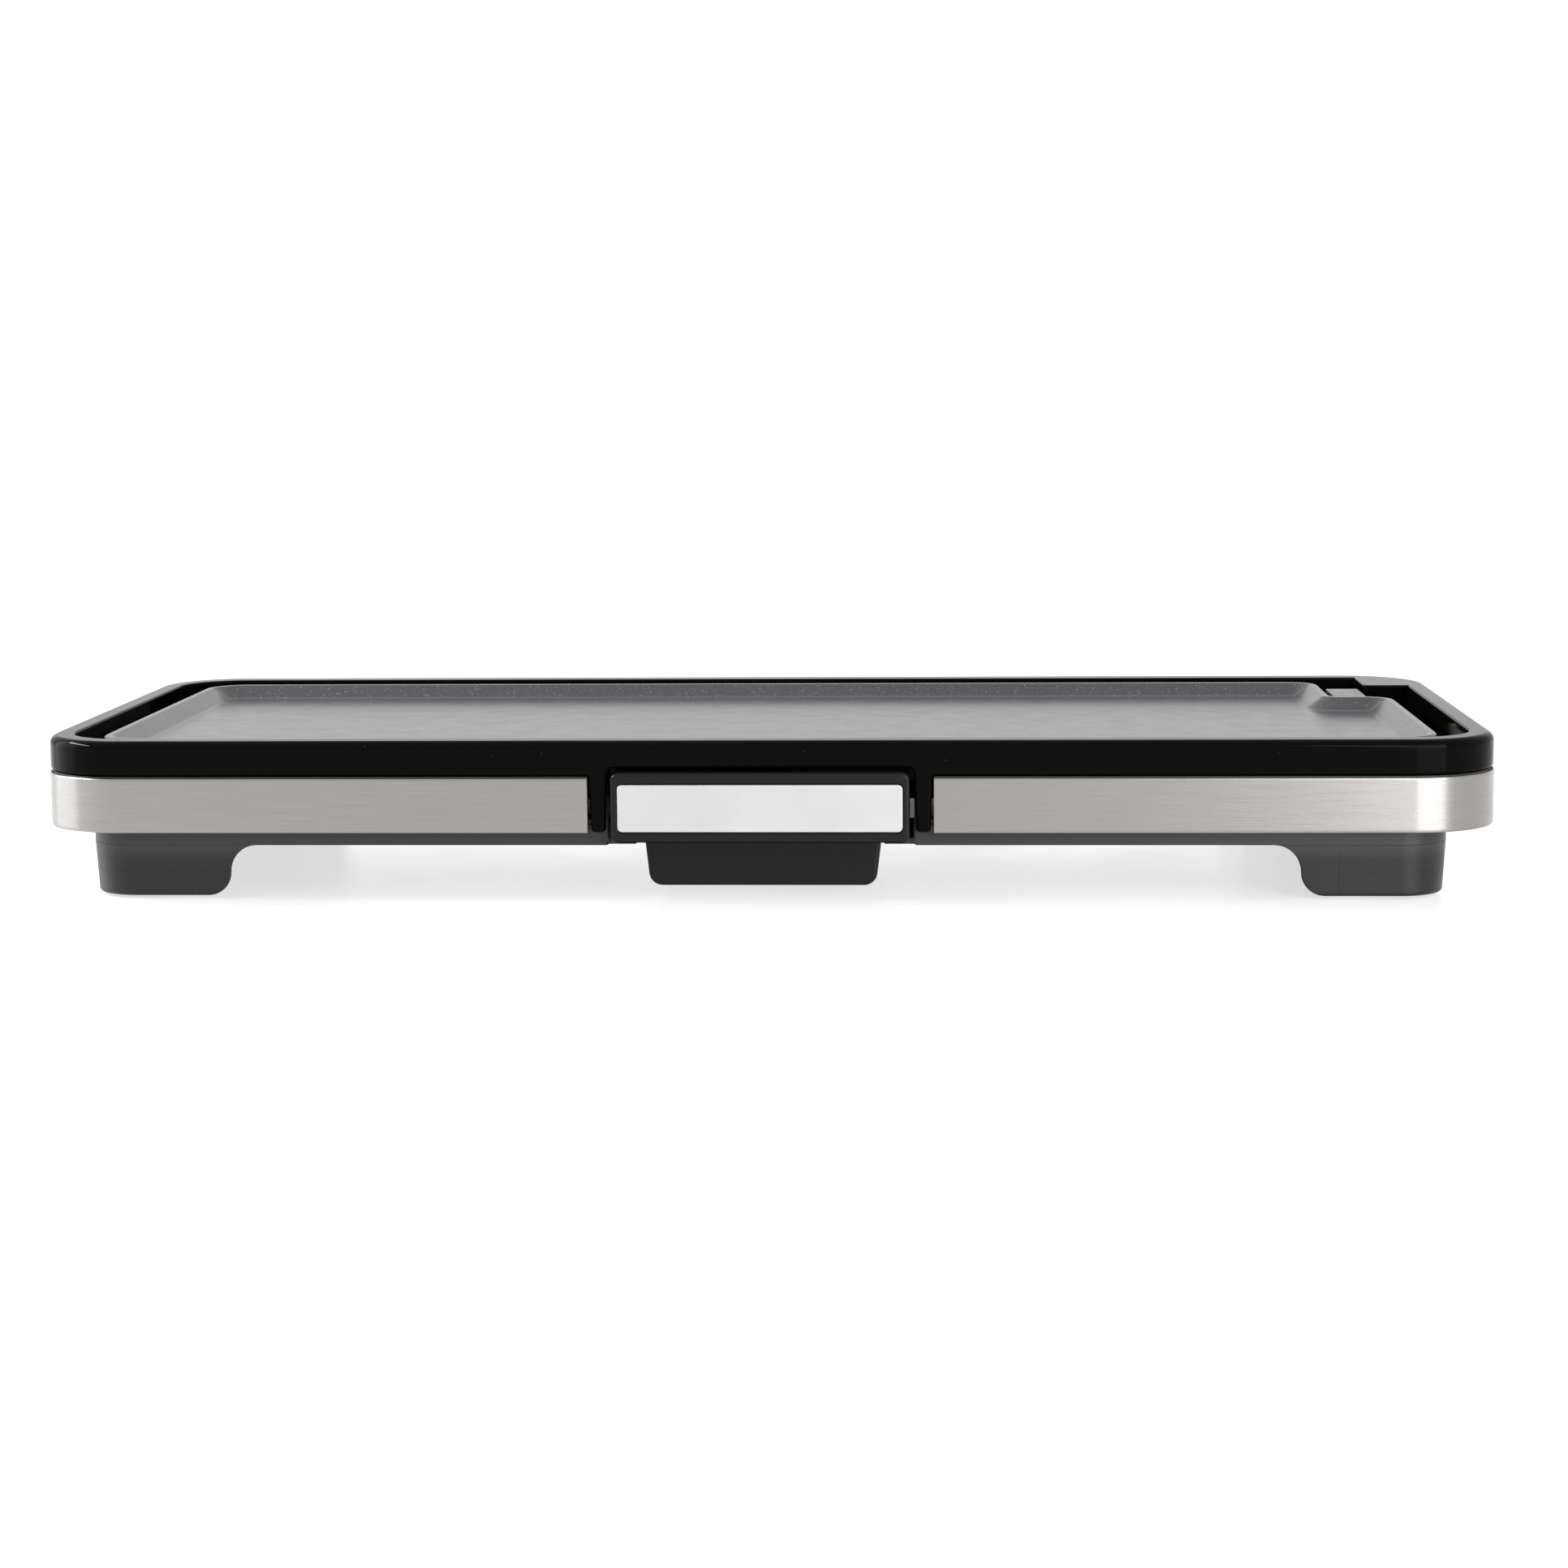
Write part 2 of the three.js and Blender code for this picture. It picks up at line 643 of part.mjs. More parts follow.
function greaseChute() {
  const { halfX, front, rear, bottom, top, sheet, ear } = CHUTE;
  const tube = join(
    box(-halfX, halfX, front, rear, bottom, top),
    box(-halfX - ear, halfX + ear, front + 1, rear - 1, SHIELD_SEAT, SHIELD_SEAT + sheet),
  );
  return cut(tube, box(-halfX + sheet, halfX - sheet, front + sheet, rear - sheet, bottom - 1, top + 1));
}

// Pan-head screw with its seat at the piece's origin and its shank pointing down.
function screw(headRadius, headHeight, shankRadius, length) {
  const crown = headRadius * 0.7;
  return turnedZ(
    [
      [0, headHeight],
      [crown, headHeight],
      [headRadius, 0],
      [shankRadius, 0],
      [shankRadius, -length],
      [0, -length],
    ],
    8,
  );
}

function trayRail(side) {
  const { near, web, far, underLip, top, front, rear } = RAIL;
  const bottom = FLOOR_TOP + GAP;
  const corners = [[web, bottom], [far, bottom], [far, top], [near, top], [near, underLip], [web, underLip]];
  const points = polygon(...corners.map(([x, z]) => [side * x, z]));
  return prismY(side > 0 ? points : points.reverse(), front, rear);
}

// Leaf spring: flat foot on the floor, then a rising blade whose hooked tip holds the tray's rear flange.
function latchSpring() {
  const bottom = FLOOR_TOP + GAP;
  const foot = LATCH.rear - 13;
  const leaf = polygon(
    [LATCH.rear, bottom],
    [LATCH.rear, bottom + LATCH.sheet],
    [foot, bottom + LATCH.sheet],
    [LATCH.tip + 2.4, LATCH.crest],
    [LATCH.tip, LATCH.crest - 1.8],
    [LATCH.tip + 0.4, LATCH.crest - 2.3],
    [LATCH.tip + 2.3, LATCH.crest - 0.9],
    [foot - 0.3, bottom],
  );
  return cut(prismX(leaf, -LATCH.halfX, LATCH.halfX), rodZ(0, LATCH.screwY, PILOT_RADIUS, 20, 30, 8));
}

// ---------------------------------------------------------------------------------------------------
// Heating element and the connector for the controller
// ---------------------------------------------------------------------------------------------------

// A path that puts one cross-section exactly on each of its stations.
class StationPath extends THREE.Curve {
  constructor(stations) {
    super();
    this.stations = stations;
  }

  getPoint(t, target = new THREE.Vector3()) {
    const place = t * (this.stations.length - 1);
    const index = Math.min(Math.floor(place), this.stations.length - 2);
    return target.lerpVectors(this.stations[index], this.stations[index + 1], place - index);
  }

  getPointAt(t, target) {
    return this.getPoint(t, target);
  }

  getTangentAt(t, target = new THREE.Vector3()) {
    const last = this.stations.length - 1;
    const index = Math.round(t * last);
    const after = this.stations[Math.min(index + 1, last)];
    const before = this.stations[Math.max(index - 1, 0)];
    const here = this.stations[index];
    const ahead = after.clone().sub(here).normalize();
    const behind = here.clone().sub(before).normalize();
    return target.addVectors(ahead, behind).normalize();
  }
}

function flatArc(x, y, radius, from, to, steps, z) {
  return arc(x, y, radius, from, to, steps).map((point) => new THREE.Vector3(point.x, point.y, z));
}

function elementStations() {
  const { height, left, right, runs, corner } = ELEMENT;
  const [outlet, inlet] = PIN.xs;
  const end = PIN.front - GAP;
  const stations = [
    new THREE.Vector3(inlet, end, PIN.z),
    new THREE.Vector3(inlet, end - 17, PIN.z),
    new THREE.Vector3(inlet, end - 20, PIN.z + 1),
    new THREE.Vector3(inlet, end - 44, height - 1),
    new THREE.Vector3(inlet, end - 47, height),
    ...flatArc(inlet - corner, runs[0] + corner, corner, 0, -90, 4, height),
  ];
  for (let run = 0; run < runs.length - 1; run += 1) {
    const radius = (runs[run + 1] - runs[run]) / 2;
    const middle = runs[run] + radius;
    const atLeft = run % 2 === 0;
    const turn = atLeft ? [270, 90] : [-90, 90];
    stations.push(...flatArc(atLeft ? left : right, middle, radius, ...turn, 8, height));
  }
  stations.push(
    new THREE.Vector3(outlet - 45, runs[3], height),
    new THREE.Vector3(outlet - 42, runs[3], height - 0.8),
    new THREE.Vector3(outlet - 18, runs[3], PIN.z + 0.8),
    new THREE.Vector3(outlet - 15, runs[3], PIN.z),
    ...flatArc(outlet - corner, runs[3] + corner, corner, -90, 0, 4, PIN.z),
    new THREE.Vector3(outlet, end, PIN.z),
  );
  return stations;
}

function heatingElement() {
  const stations = elementStations();
  const section = new THREE.Shape(arc(0, 0, ELEMENT.radius, 0, 360 - 360 / ELEMENT.sides, ELEMENT.sides - 1));
  const options = { steps: stations.length - 1, extrudePath: new StationPath(stations) };
  return solidOf(new THREE.ExtrudeGeometry(section, options));
}

function elementBracket() {
  const saddle = ELEMENT.height - ELEMENT.radius - GAP;
  const halfThickness = BRACKET.thickness / 2;
  const strip = box(-halfThickness, halfThickness, BRACKET.front, BRACKET.rear, SHIELD_SEAT, ELEMENT.height);
  const windows = [];
  for (const run of ELEMENT.runs) {
    windows.push(box(-5, 5, run - BRACKET.notch, run + BRACKET.notch, saddle, BODY.top));
  }
  return cut(strip, ...windows);
}

function terminalBlock() {
  const body = box(BLOCK.left, BLOCK.right, BLOCK.front, BLOCK.rear, BLOCK.bottom, BLOCK.top);
  const bores = PIN.xs.map((x) => rodY(x, PIN.z, PIN.radius + GAP, BLOCK.front - 1, BLOCK.rear + 1));
  return cut(body, ...bores, rodY(CONTROLLER.x, PIN.z, PROBE.radius + 0.5, BLOCK.front - 1, BLOCK.rear + 1));
}

function terminalPin() {
  const length = PIN.rear - PIN.front;
  const profile = [[0, length], [1.4, length], [PIN.radius, length - 2], [PIN.radius, 0], [0, 0]];
  return turnedZ(profile, 12);
}

// Cover over the thermal fuse; its flat top shows in the plate's notch.
function terminalHood() {
  const { left, right, front, rear, bottom, top, wall } = HOOD;
  const cover = box(left, right, front, rear, bottom, top);
  const room = box(left + wall, right - wall, front + wall, rear - wall, bottom - 1, top - wall);
  const stem = box(left + 2, right - 1.5, rear - wall, rear, BLOCK.top + GAP, bottom + 1);
  return join(cut(cover, room), stem);
}

// Strip on the shield's floor, turned up in front of the terminal block.
function earthStrap() {
  const { left, right, front, rear, top, sheet } = EARTH;
  const strip = polygon(
    [front, SHIELD_SEAT],
    [rear, SHIELD_SEAT],
    [rear, top],
    [rear - sheet, top],
    [rear - sheet, SHIELD_SEAT + sheet],
    [front, SHIELD_SEAT + sheet],
  );
  return prismX(strip, left, right);
}

// ---------------------------------------------------------------------------------------------------
// Plate
// ---------------------------------------------------------------------------------------------------

function griddlePlate() {
  const dishSmall = plateOutline(PLATE.rim + PLATE.slope);
  const dishHeight = PLATE.top - PLATE.floor;
  const dishTop = PLATE.floor + 2 * dishHeight + 1;
  const dish = beveledPrism(dishSmall, PLATE.floor, dishTop, PLATE.slope, dishHeight, 1);
  const slab = prismZ(plateOutline(0), PLATE.underside, PLATE.top);
  const skirt = cut(
    prismZ(plateOutline(0), PLATE.skirt, PLATE.underside + 0.5),
    prismZ(plateOutline(PLATE.rim), PLATE.skirt - 1, PLATE.underside + 1),
  );
  const spout = box(
    -DRAIN.halfX - DRAIN.lip,
    DRAIN.halfX + DRAIN.lip,
    DRAIN.front - DRAIN.lip,
    DRAIN.rear + DRAIN.lip,
    DRAIN.bottom,
    PLATE.underside + 1,
  );
  const sensorBoss = box(
    CONTROLLER.x - 5,
    CONTROLLER.x + 5,
    PROBE.front,
    PLATE.notchY - 1.5,
    PIN.z + PROBE.radius + 0.4,
    PLATE.underside + 1,
  );
  const slot = roundedRect(-DRAIN.halfX, DRAIN.halfX, DRAIN.front, DRAIN.rear, 4.9, 4);
  const drain = prismZ(slot, DRAIN.bottom - 1, PLATE.top);
  return cut(join(cut(slab, dish), skirt, spout, sensorBoss), drain);
}

// ---------------------------------------------------------------------------------------------------
// Drip drawer
// ---------------------------------------------------------------------------------------------------

function trayProfile(inset, top) {
  const { bottom, radius, bottomHalfX, topHalfX } = TRAY;
  const centre = bottomHalfX - radius;
  const corner = radius - inset;
  return [
    new THREE.Vector2(-topHalfX + inset, top),
    ...arc(-centre, bottom + radius, corner, 185, 270, 4),
    ...arc(centre, bottom + radius, corner, 270, 355, 4),
    new THREE.Vector2(topHalfX - inset, top),
  ];
}

function dripTray() {
  const { front, rear, top, wall, flangeHalfX, flangeBottom, flangeRear, tabHalfX, tabTop } = TRAY;
  const tub = prismY(trayProfile(0, flangeBottom + 0.5), front, rear);
  const flange = box(-flangeHalfX, flangeHalfX, front, flangeRear, flangeBottom, top);
  const room = prismY(trayProfile(wall, tabTop), front + wall, rear - wall);
  const tab = box(-tabHalfX, tabHalfX, front, front + wall, flangeBottom, tabTop);
  const holes = SIDES.map((side) => {
    return rodY(side * TRAY_SCREW.x, TRAY_SCREW.z, PILOT_RADIUS, front - 1, front + wall + 1, 8);
  });
  return cut(join(cut(join(tub, flange), room), tab), ...holes);
}

function trayFront() {
  const { halfX, bottom, top, front, rear, corner, skin, shelfHalfX } = DRAWER;
  const shell = prismY(roundedRect(-halfX, halfX, bottom, top, corner, 4), front, rear);
  const back = box(-halfX + skin, halfX - skin, INSERT.rear + 2.7, rear + 1, bottom + 3.2, top - skin);
  const pocket = prismY(
    roundedRect(
      -INSERT.halfX - GAP,
      INSERT.halfX + GAP,
      INSERT.bottom - GAP,
      INSERT.top + GAP,
      INSERT.corner + GAP,
      4,
    ),
    front - 1,
    INSERT.rear + GAP,
  );
  const step = box(-shelfHalfX - 0.5, shelfHalfX + 0.5, front - 1, rear + 1, bottom - 1, bottom + 0.7);
  const shelf = box(-shelfHalfX, shelfHalfX, rear - 1, TRAY.front - GAP, bottom + 0.7, TRAY.tabTop);
  const holes = SIDES.map((side) => {
    return rodY(side * TRAY_SCREW.x, TRAY_SCREW.z, PILOT_RADIUS, rear - 0.5, TRAY.front, 8);
  });
  return cut(join(cut(shell, back, pocket, step), shelf), ...holes);
}

function trayInsert() {
  const { halfX, bottom, top, front, rear, corner } = INSERT;
  return prismY(roundedRect(-halfX, halfX, bottom, top, corner, 4), front, rear);
}

// ---------------------------------------------------------------------------------------------------
// Plug-in controller and dial
// ---------------------------------------------------------------------------------------------------

function controllerOutline(inset) {
  const { left, right, front, rear, corner } = CONTROLLER;
  return roundedRect(left + inset, right - inset, front + inset, rear - inset, corner - inset);
}

const CASE_SCREW_XS = [CONTROLLER.left + CASE_SCREW.inset, CONTROLLER.right - CASE_SCREW.inset];

function controllerShell() {
  const { skin, fillet, bottom, top, x: middle, split, rear } = CONTROLLER;
  const body = beveledPrism(controllerOutline(fillet), bottom, top, fillet, fillet, 2);
  const room = prismZ(controllerOutline(skin), bottom + skin, top - skin);
  const nose = box(NOSE.left, NOSE.right, NOSE.front, CONTROLLER.front + 1, NOSE.bottom, NOSE.top);
  const bosses = CASE_SCREW_XS.map((x) => rodZ(x, CASE_SCREW.y, CASE_SCREW.boss, bottom + 1, top - 1));
  const channels = PIN.xs.map((x) => {
    return rodY(x, PIN.z, CONTACT.radius + GAP + 0.1, NOSE.front - 1, CONTROLLER.front + skin + 1);
  });
  const probeWay = rodY(middle, PIN.z, PROBE.radius + GAP, NOSE.front - 1, CONTROLLER.front + skin + 1);
  const glandHole = rodY(middle, split, GLAND.neck + GAP, rear - 6, rear + 1);
  return cut(join(cut(body, room), nose, ...bosses), ...channels, probeWay, glandHole);
}

function controllerLower() {
  const { bottom, split, left, right, rear, x } = CONTROLLER;
  const half = box(left - 1, right + 1, NOSE.front - 1, rear + 1, bottom - 1, split - GAP / 2);
  const cradle = box(x - 10, x + 10, DIAL.y - 11, DIAL.y + 9, bottom + 2, SWITCH.bottom - GAP);
  const holes = [];
  for (const screwX of CASE_SCREW_XS) {
    holes.push(rodZ(screwX, CASE_SCREW.y, 3, bottom - 1, bottom + 3));
    holes.push(rodZ(screwX, CASE_SCREW.y, PILOT_RADIUS, bottom, split + 1, 8));
  }
  return cut(join(common(controllerShell(), half), cradle), ...holes);
}

function controllerUpper() {
  const { top, split, left, right, rear, x } = CONTROLLER;
  const half = box(left - 1, right + 1, NOSE.front - 1, rear + 1, split + GAP / 2, top + 1);
  const holes = CASE_SCREW_XS.map((screwX) => {
    return rodZ(screwX, CASE_SCREW.y, PILOT_RADIUS, split - 1, top - CONTROLLER.skin, 8);
  });
  const spindleHole = rodZ(x, DIAL.y, SPINDLE.radius + 0.4, top - 5, top + 1);
  const lampHole = rodZ(x, LAMP.y, LAMP.radius + GAP, top - 5, top + 1);
  return cut(common(controllerShell(), half), ...holes, spindleHole, lampHole);
}

function contactSleeve() {
  const { front, rear, radius } = CONTACT;
  return cut(rodY(0, 0, radius, front, rear), rodY(0, 0, PIN.radius + GAP, front - 1, rear + 1));
}

function temperatureProbe() {
  const length = PROBE.rear - PROBE.front;
  const profile = [[0, length], [PROBE.radius, length], [PROBE.radius, 2], [1.6, 0.4], [0, 0]];
  return turnedZ(profile, 12);
}

function pilotLamp() {
  const rim = LAMP.radius;
  return turnedZ([[0, 1.3], [1.6, 1.1], [2.6, 0.5], [rim, 0], [rim, -2.6], [2.4, -5], [0, -5]], 12);
}

// Bush for the cord: inner collar, neck in the wall, outer collar. Its profile closes on itself.
function cordGland() {
  const wall = CONTROLLER.skin;
  const rear = CONTROLLER.rear;
  const ring = [
    [GLAND.bore, rear - wall - 2.5],
    [GLAND.neck + 0.9, rear - wall - 2.5],
    [GLAND.neck + 0.9, rear - wall - GAP],
    [GLAND.neck, rear - wall - GAP],
    [GLAND.neck, rear + GAP],
    [GLAND.collar, rear + GAP],
    [GLAND.collar - 1, GLAND.rear],
    [GLAND.bore, GLAND.rear],
    [GLAND.bore, rear - wall - 2.5],
  ];
  const points = ring.map(([radius, y]) => new THREE.Vector2(radius, y));
  return solidOf(new THREE.LatheGeometry(points, 16));
}

function controlDial() {
  const { radius, bottom, top, ridge } = DIAL;
  const cap = turnedZ(
    [
      [0, top],
      [radius - 1.5, top],
      [radius, top - 1.2],
      [radius, bottom],
      [radius - 1.8, bottom],
      [radius - 1.8, top - 2],
      [5, top - 2],
      [5, bottom],
      [SPINDLE.radius + GAP, bottom],
      [SPINDLE.radius + GAP, SPINDLE.top + GAP],
      [0, SPINDLE.top + GAP],
    ],
    32,
  );
  return join(cap, box(-1.4, 1.4, -20, -6, top - 0.5, top + ridge));
}

// ---------------------------------------------------------------------------------------------------
// Assembly
// ---------------------------------------------------------------------------------------------------

const griddle = new THREE.Group();
griddle.position.set(0, -ORIGIN_Y, 0);

function place(name, solid, look, x = 0, y = 0, z = 0) {
  const mesh = new THREE.Mesh(geometryOf(solid), look);
  mesh.name = name;
  mesh.position.set(x, y, z);
  griddle.add(mesh);
  return mesh;
}

const CORNERS = [
  ['front_left', -1, -1],
  ['front_right', 1, -1],
  ['rear_left', -1, 1],
  ['rear_right', 1, 1],
];

place('base_housing', baseHousing(), MATERIALS.charcoal);
place('side_shell', sideShell(), MATERIALS.charcoal);
place('top_frame', topFrame(), MATERIALS.gloss);
place('steel_band_left', bandLeft(), MATERIALS.steel);
place('steel_band_right', bandRight(), MATERIALS.steel);
place('heat_shield', heatShield(), MATERIALS.sheet);
place('grease_chute', greaseChute(), MATERIALS.sheet);
place('tray_rail_left', trayRail(-1), MATERIALS.zinc);
place('tray_rail_right', trayRail(1), MATERIALS.zinc);
place('tray_latch_spring', latchSpring(), MATERIALS.zinc);
const latchScrewZ = FLOOR_TOP + LATCH.sheet + 2 * GAP;
place('latch_screw', screw(2.8, 1.5, 1.3, 3), MATERIALS.zinc, 0, LATCH.screwY, latchScrewZ);

for (const [corner, side, end] of CORNERS) {
  const row = end < 0 ? 0 : 1;
  place(`leg_${corner}`, leg(side, end), MATERIALS.charcoal);
  place(`rubber_foot_${corner}`, rubberFoot(), MATERIALS.rubber, side * FOOT.x, footY(end));
  place(`plate_rest_${corner}`, restCap(), MATERIALS.silicone, side * REST.x, REST.ys[row]);
  const shieldScrew = place(`shield_screw_${corner}`, screw(3, 1.8, 1.2, 7), MATERIALS.zinc);
  shieldScrew.position.set(side * SHIELD_SCREWS.x, SHIELD_SCREWS.ys[row], SHIELD_SEAT);
  const frameScrew = place(`frame_screw_${corner}`, screw(3, 1.3, 1.3, 14), MATERIALS.zinc);
  frameScrew.position.set(side * FRAME_SCREW.x, frameScrewY(end), WALL.flangeBottom + 1.5 - GAP);
  frameScrew.rotation.set(Math.PI, 0, 0);
}

place('heating_element', heatingElement(), MATERIALS.element);
BRACKET.xs.forEach((x, index) => {
  place(`element_bracket_${['left', 'middle', 'right'][index]}`, elementBracket(), MATERIALS.sheet, x);
});
place('terminal_block', terminalBlock(), MATERIALS.ceramic);
place('terminal_hood', terminalHood(), MATERIALS.nonstick);
const fuseX = (HOOD.left + HOOD.right) / 2;
place('thermal_cutout', rodY(0, 0, FUSE.radius, FUSE.front, FUSE.rear), MATERIALS.ceramic, fuseX, 0, FUSE.z);
place('earth_strap', earthStrap(), MATERIALS.zinc);

PIN.xs.forEach((x, index) => {
  const side = ['left', 'right'][index];
  const pin = place(`terminal_pin_${side}`, terminalPin(), MATERIALS.brass, x, PIN.front, PIN.z);
  pin.rotation.set(-Math.PI / 2, 0, 0);
  place(`contact_${side}`, contactSleeve(), MATERIALS.brass, x, 0, PIN.z);
  const caseScrew = screw(2.6, 1.5, CASE_SCREW.radius, CASE_SCREW.length);
  const placed = place(`controller_screw_${side}`, caseScrew, MATERIALS.zinc);
  placed.position.set(CASE_SCREW_XS[index], CASE_SCREW.y, CONTROLLER.bottom + CONTROLLER.skin - GAP);
  placed.rotation.set(Math.PI, 0, 0);
});

place('griddle_plate', griddlePlate(), MATERIALS.nonstick);

place('drip_tray', dripTray(), MATERIALS.satinBlack);
place('tray_front', trayFront(), MATERIALS.satinBlack);
place('tray_insert', trayInsert(), MATERIALS.silver);
SIDES.forEach((side, index) => {
  const name = `tray_screw_${['left', 'right'][index]}`;
  const trayScrew = place(name, screw(2.4, 1.4, TRAY_SCREW.radius, 8), MATERIALS.zinc);
  trayScrew.position.set(side * TRAY_SCREW.x, TRAY.front + TRAY.wall + GAP, TRAY_SCREW.z);
  trayScrew.rotation.set(-Math.PI / 2, 0, 0);
});

place('controller_lower', controllerLower(), MATERIALS.satinBlack);
place('controller_upper', controllerUpper(), MATERIALS.satinBlack);
const probe = place('temperature_probe', temperatureProbe(), MATERIALS.zinc);
probe.position.set(CONTROLLER.x, PROBE.front, PIN.z);
probe.rotation.set(-Math.PI / 2, 0, 0);
const switchBody = box(-SWITCH.halfX, SWITCH.halfX, SWITCH.front, SWITCH.rear, SWITCH.bottom, SWITCH.top);
place('thermostat_switch', switchBody, MATERIALS.ceramic, CONTROLLER.x, DIAL.y);
place('pilot_lamp_lens', pilotLamp(), MATERIALS.lens, CONTROLLER.x, LAMP.y, CONTROLLER.top);
place('cord_gland', cordGland(), MATERIALS.rubber, CONTROLLER.x, 0, CONTROLLER.split);
place('control_dial', controlDial(), MATERIALS.satinBlack, CONTROLLER.x, DIAL.y);
const spindle = rodZ(0, 0, SPINDLE.radius, SPINDLE.bottom, SPINDLE.top);
place('dial_spindle', spindle, MATERIALS.zinc, CONTROLLER.x, DIAL.y);

export default griddle;
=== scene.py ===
"""Looks of a table griddle: fine meshes, materials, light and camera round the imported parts.

Shapes are drawn in millimetres: X along the length, Y from the frame's front face to the rear, Z up from
the table. Each piece goes to metres in the row's frame as it is finished.
"""

import json
import math

import bmesh
import bpy
from mathutils import Matrix, Vector

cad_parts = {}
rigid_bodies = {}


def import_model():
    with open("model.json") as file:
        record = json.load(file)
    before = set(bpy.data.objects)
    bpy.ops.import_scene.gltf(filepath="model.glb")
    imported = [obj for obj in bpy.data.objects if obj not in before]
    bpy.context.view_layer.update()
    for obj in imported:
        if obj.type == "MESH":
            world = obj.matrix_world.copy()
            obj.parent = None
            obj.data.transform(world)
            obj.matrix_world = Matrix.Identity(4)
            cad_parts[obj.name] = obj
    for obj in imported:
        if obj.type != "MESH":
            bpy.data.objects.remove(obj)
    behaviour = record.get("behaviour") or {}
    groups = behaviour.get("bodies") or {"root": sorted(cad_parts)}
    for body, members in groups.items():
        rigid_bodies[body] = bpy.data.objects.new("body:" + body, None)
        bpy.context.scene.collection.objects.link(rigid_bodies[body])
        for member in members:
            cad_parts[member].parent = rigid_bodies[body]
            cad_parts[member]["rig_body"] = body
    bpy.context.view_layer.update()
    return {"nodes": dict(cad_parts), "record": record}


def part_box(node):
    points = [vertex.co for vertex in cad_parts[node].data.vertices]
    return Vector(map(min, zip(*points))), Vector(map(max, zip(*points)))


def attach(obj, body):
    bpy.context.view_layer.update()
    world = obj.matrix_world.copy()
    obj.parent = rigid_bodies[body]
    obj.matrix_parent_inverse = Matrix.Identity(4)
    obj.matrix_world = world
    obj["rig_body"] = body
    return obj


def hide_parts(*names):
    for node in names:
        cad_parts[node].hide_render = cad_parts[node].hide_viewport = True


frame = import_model()

NODES = frame["nodes"]
SLOT_OF = {row["node"]: row["material_slot"] for row in frame["record"]["subparts"]}
FRONT = 1000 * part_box("top_frame")[0].y
TO_ROW = Matrix.Scale(0.001, 4) @ Matrix.Translation((0, FRONT, 0))
CORNERS = [("front_left", -1, -1), ("front_right", 1, -1), ("rear_left", -1, 1), ("rear_right", 1, 1)]


def span(node):
    """Lowest and highest corner of a CAD node, in millimetres from the frame's front face."""
    low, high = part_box(node)
    return 1000 * low - Vector((0, FRONT, 0)), 1000 * high - Vector((0, FRONT, 0))


def centred(node):
    """Middle of a node's box, and its low and high corners."""
    low, high = span(node)
    return (low + high) / 2, low, high


def upright(node):
    """Where an upright node stands: the middle of its box in X and Y."""
    low, high = span(node)
    return ((low.x + high.x) / 2, (low.y + high.y) / 2, 0)


# ---- Driving dimensions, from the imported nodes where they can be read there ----

HALF_X, DEPTH, TOP = span("top_frame")[1]
BODY_CORNER = 36
FRAME_BOTTOM = 50.8
FRAME_FILLET = 3.5
FRAME_SKIN = 2.8
ROOF = 2.5
RIM_HALF_X = 285
RIM_FRONT = 11
RIM_REAR = 241
RIM_CORNER = 26
RIM_WALL = 2.2
RIM_BOTTOM = 48
PLATFORM_LEFT = 265
PLATFORM_FRONT = 206
PLATFORM_CORNER = 3
LIP_ROUNDING = 1.3
TAB_THICKNESS = 2.4
SOCKET_LEFT, SOCKET_RIGHT = 221.5, 262.5
SOCKET_BOTTOM, SOCKET_TOP = 29.5, 49
SOCKET_TAB_LEFT, SOCKET_TAB_RIGHT = 216, 268

BAND_LOW, BAND_HIGH = span("steel_band_right")
BAND_PROUD = -BAND_LOW.y
BAND_THICKNESS = 0.8
BAND_END = BAND_LOW.x

LEG_LOW, LEG_HIGH = span("leg_front_right")
PLINTH_HALF_X = LEG_HIGH.x
PLINTH_FRONT = LEG_LOW.y
PLINTH_REAR = DEPTH - PLINTH_FRONT
PLINTH_CORNER = 20
PLINTH_BOTTOM = span("base_housing")[0].z
PLINTH_SKIN = 2.5
PLINTH_LIP = 20
LIP_BOTTOM, LIP_TOP = 30.9, 32.9
PILOT_RADIUS = 1.6
FLOOR_TOP = PLINTH_BOTTOM + PLINTH_SKIN
LEG_FILLET = 11
LEG_TOE = 10
LEG_TOE_REAR = 6
LEG_TAPER = 1.2
LEG_RAKE = 12
LEG_INNER = LEG_LOW.x + LEG_FILLET
LEG_REAR = LEG_HIGH.y - LEG_FILLET
SEAM_X = 230

BAY_HALF_X = 61.3
BAY_DEPTH = 8.4
TRAY_WAY_X, TRAY_WAY_REAR = 50.6, 121

PLATE_LOW, PLATE_HIGH = span("griddle_plate")
PLATE_CORNER = 18
PLATE_FLOOR = PLATE_HIGH.z - 5.5
PLATE_UNDERSIDE = 53.3
PLATE_SKIRT = 51.5
PLATE_RIM = 3
PLATE_SLOPE = 7.5
NOTCH_X, NOTCH_Y = 245, 164.5
NOTCH_CONVEX, NOTCH_CONCAVE = 13, 4


# ---- Outlines ----


def arc(x, y, radius, start, end, steps=12):
    """Points along an arc, with angles in degrees."""
    turns = [math.radians(start + (end - start) * i / steps) for i in range(steps + 1)]
    return [(x + radius * math.cos(turn), y + radius * math.sin(turn)) for turn in turns]


def rounded_rect(x0, x1, y0, y1, radius, steps=8):
    return [
        *arc(x0 + radius, y0 + radius, radius, 180, 270, steps),
        *arc(x1 - radius, y0 + radius, radius, 270, 360, steps),
        *arc(x1 - radius, y1 - radius, radius, 0, 90, steps),
        *arc(x0 + radius, y1 - radius, radius, 90, 180, steps),
    ]


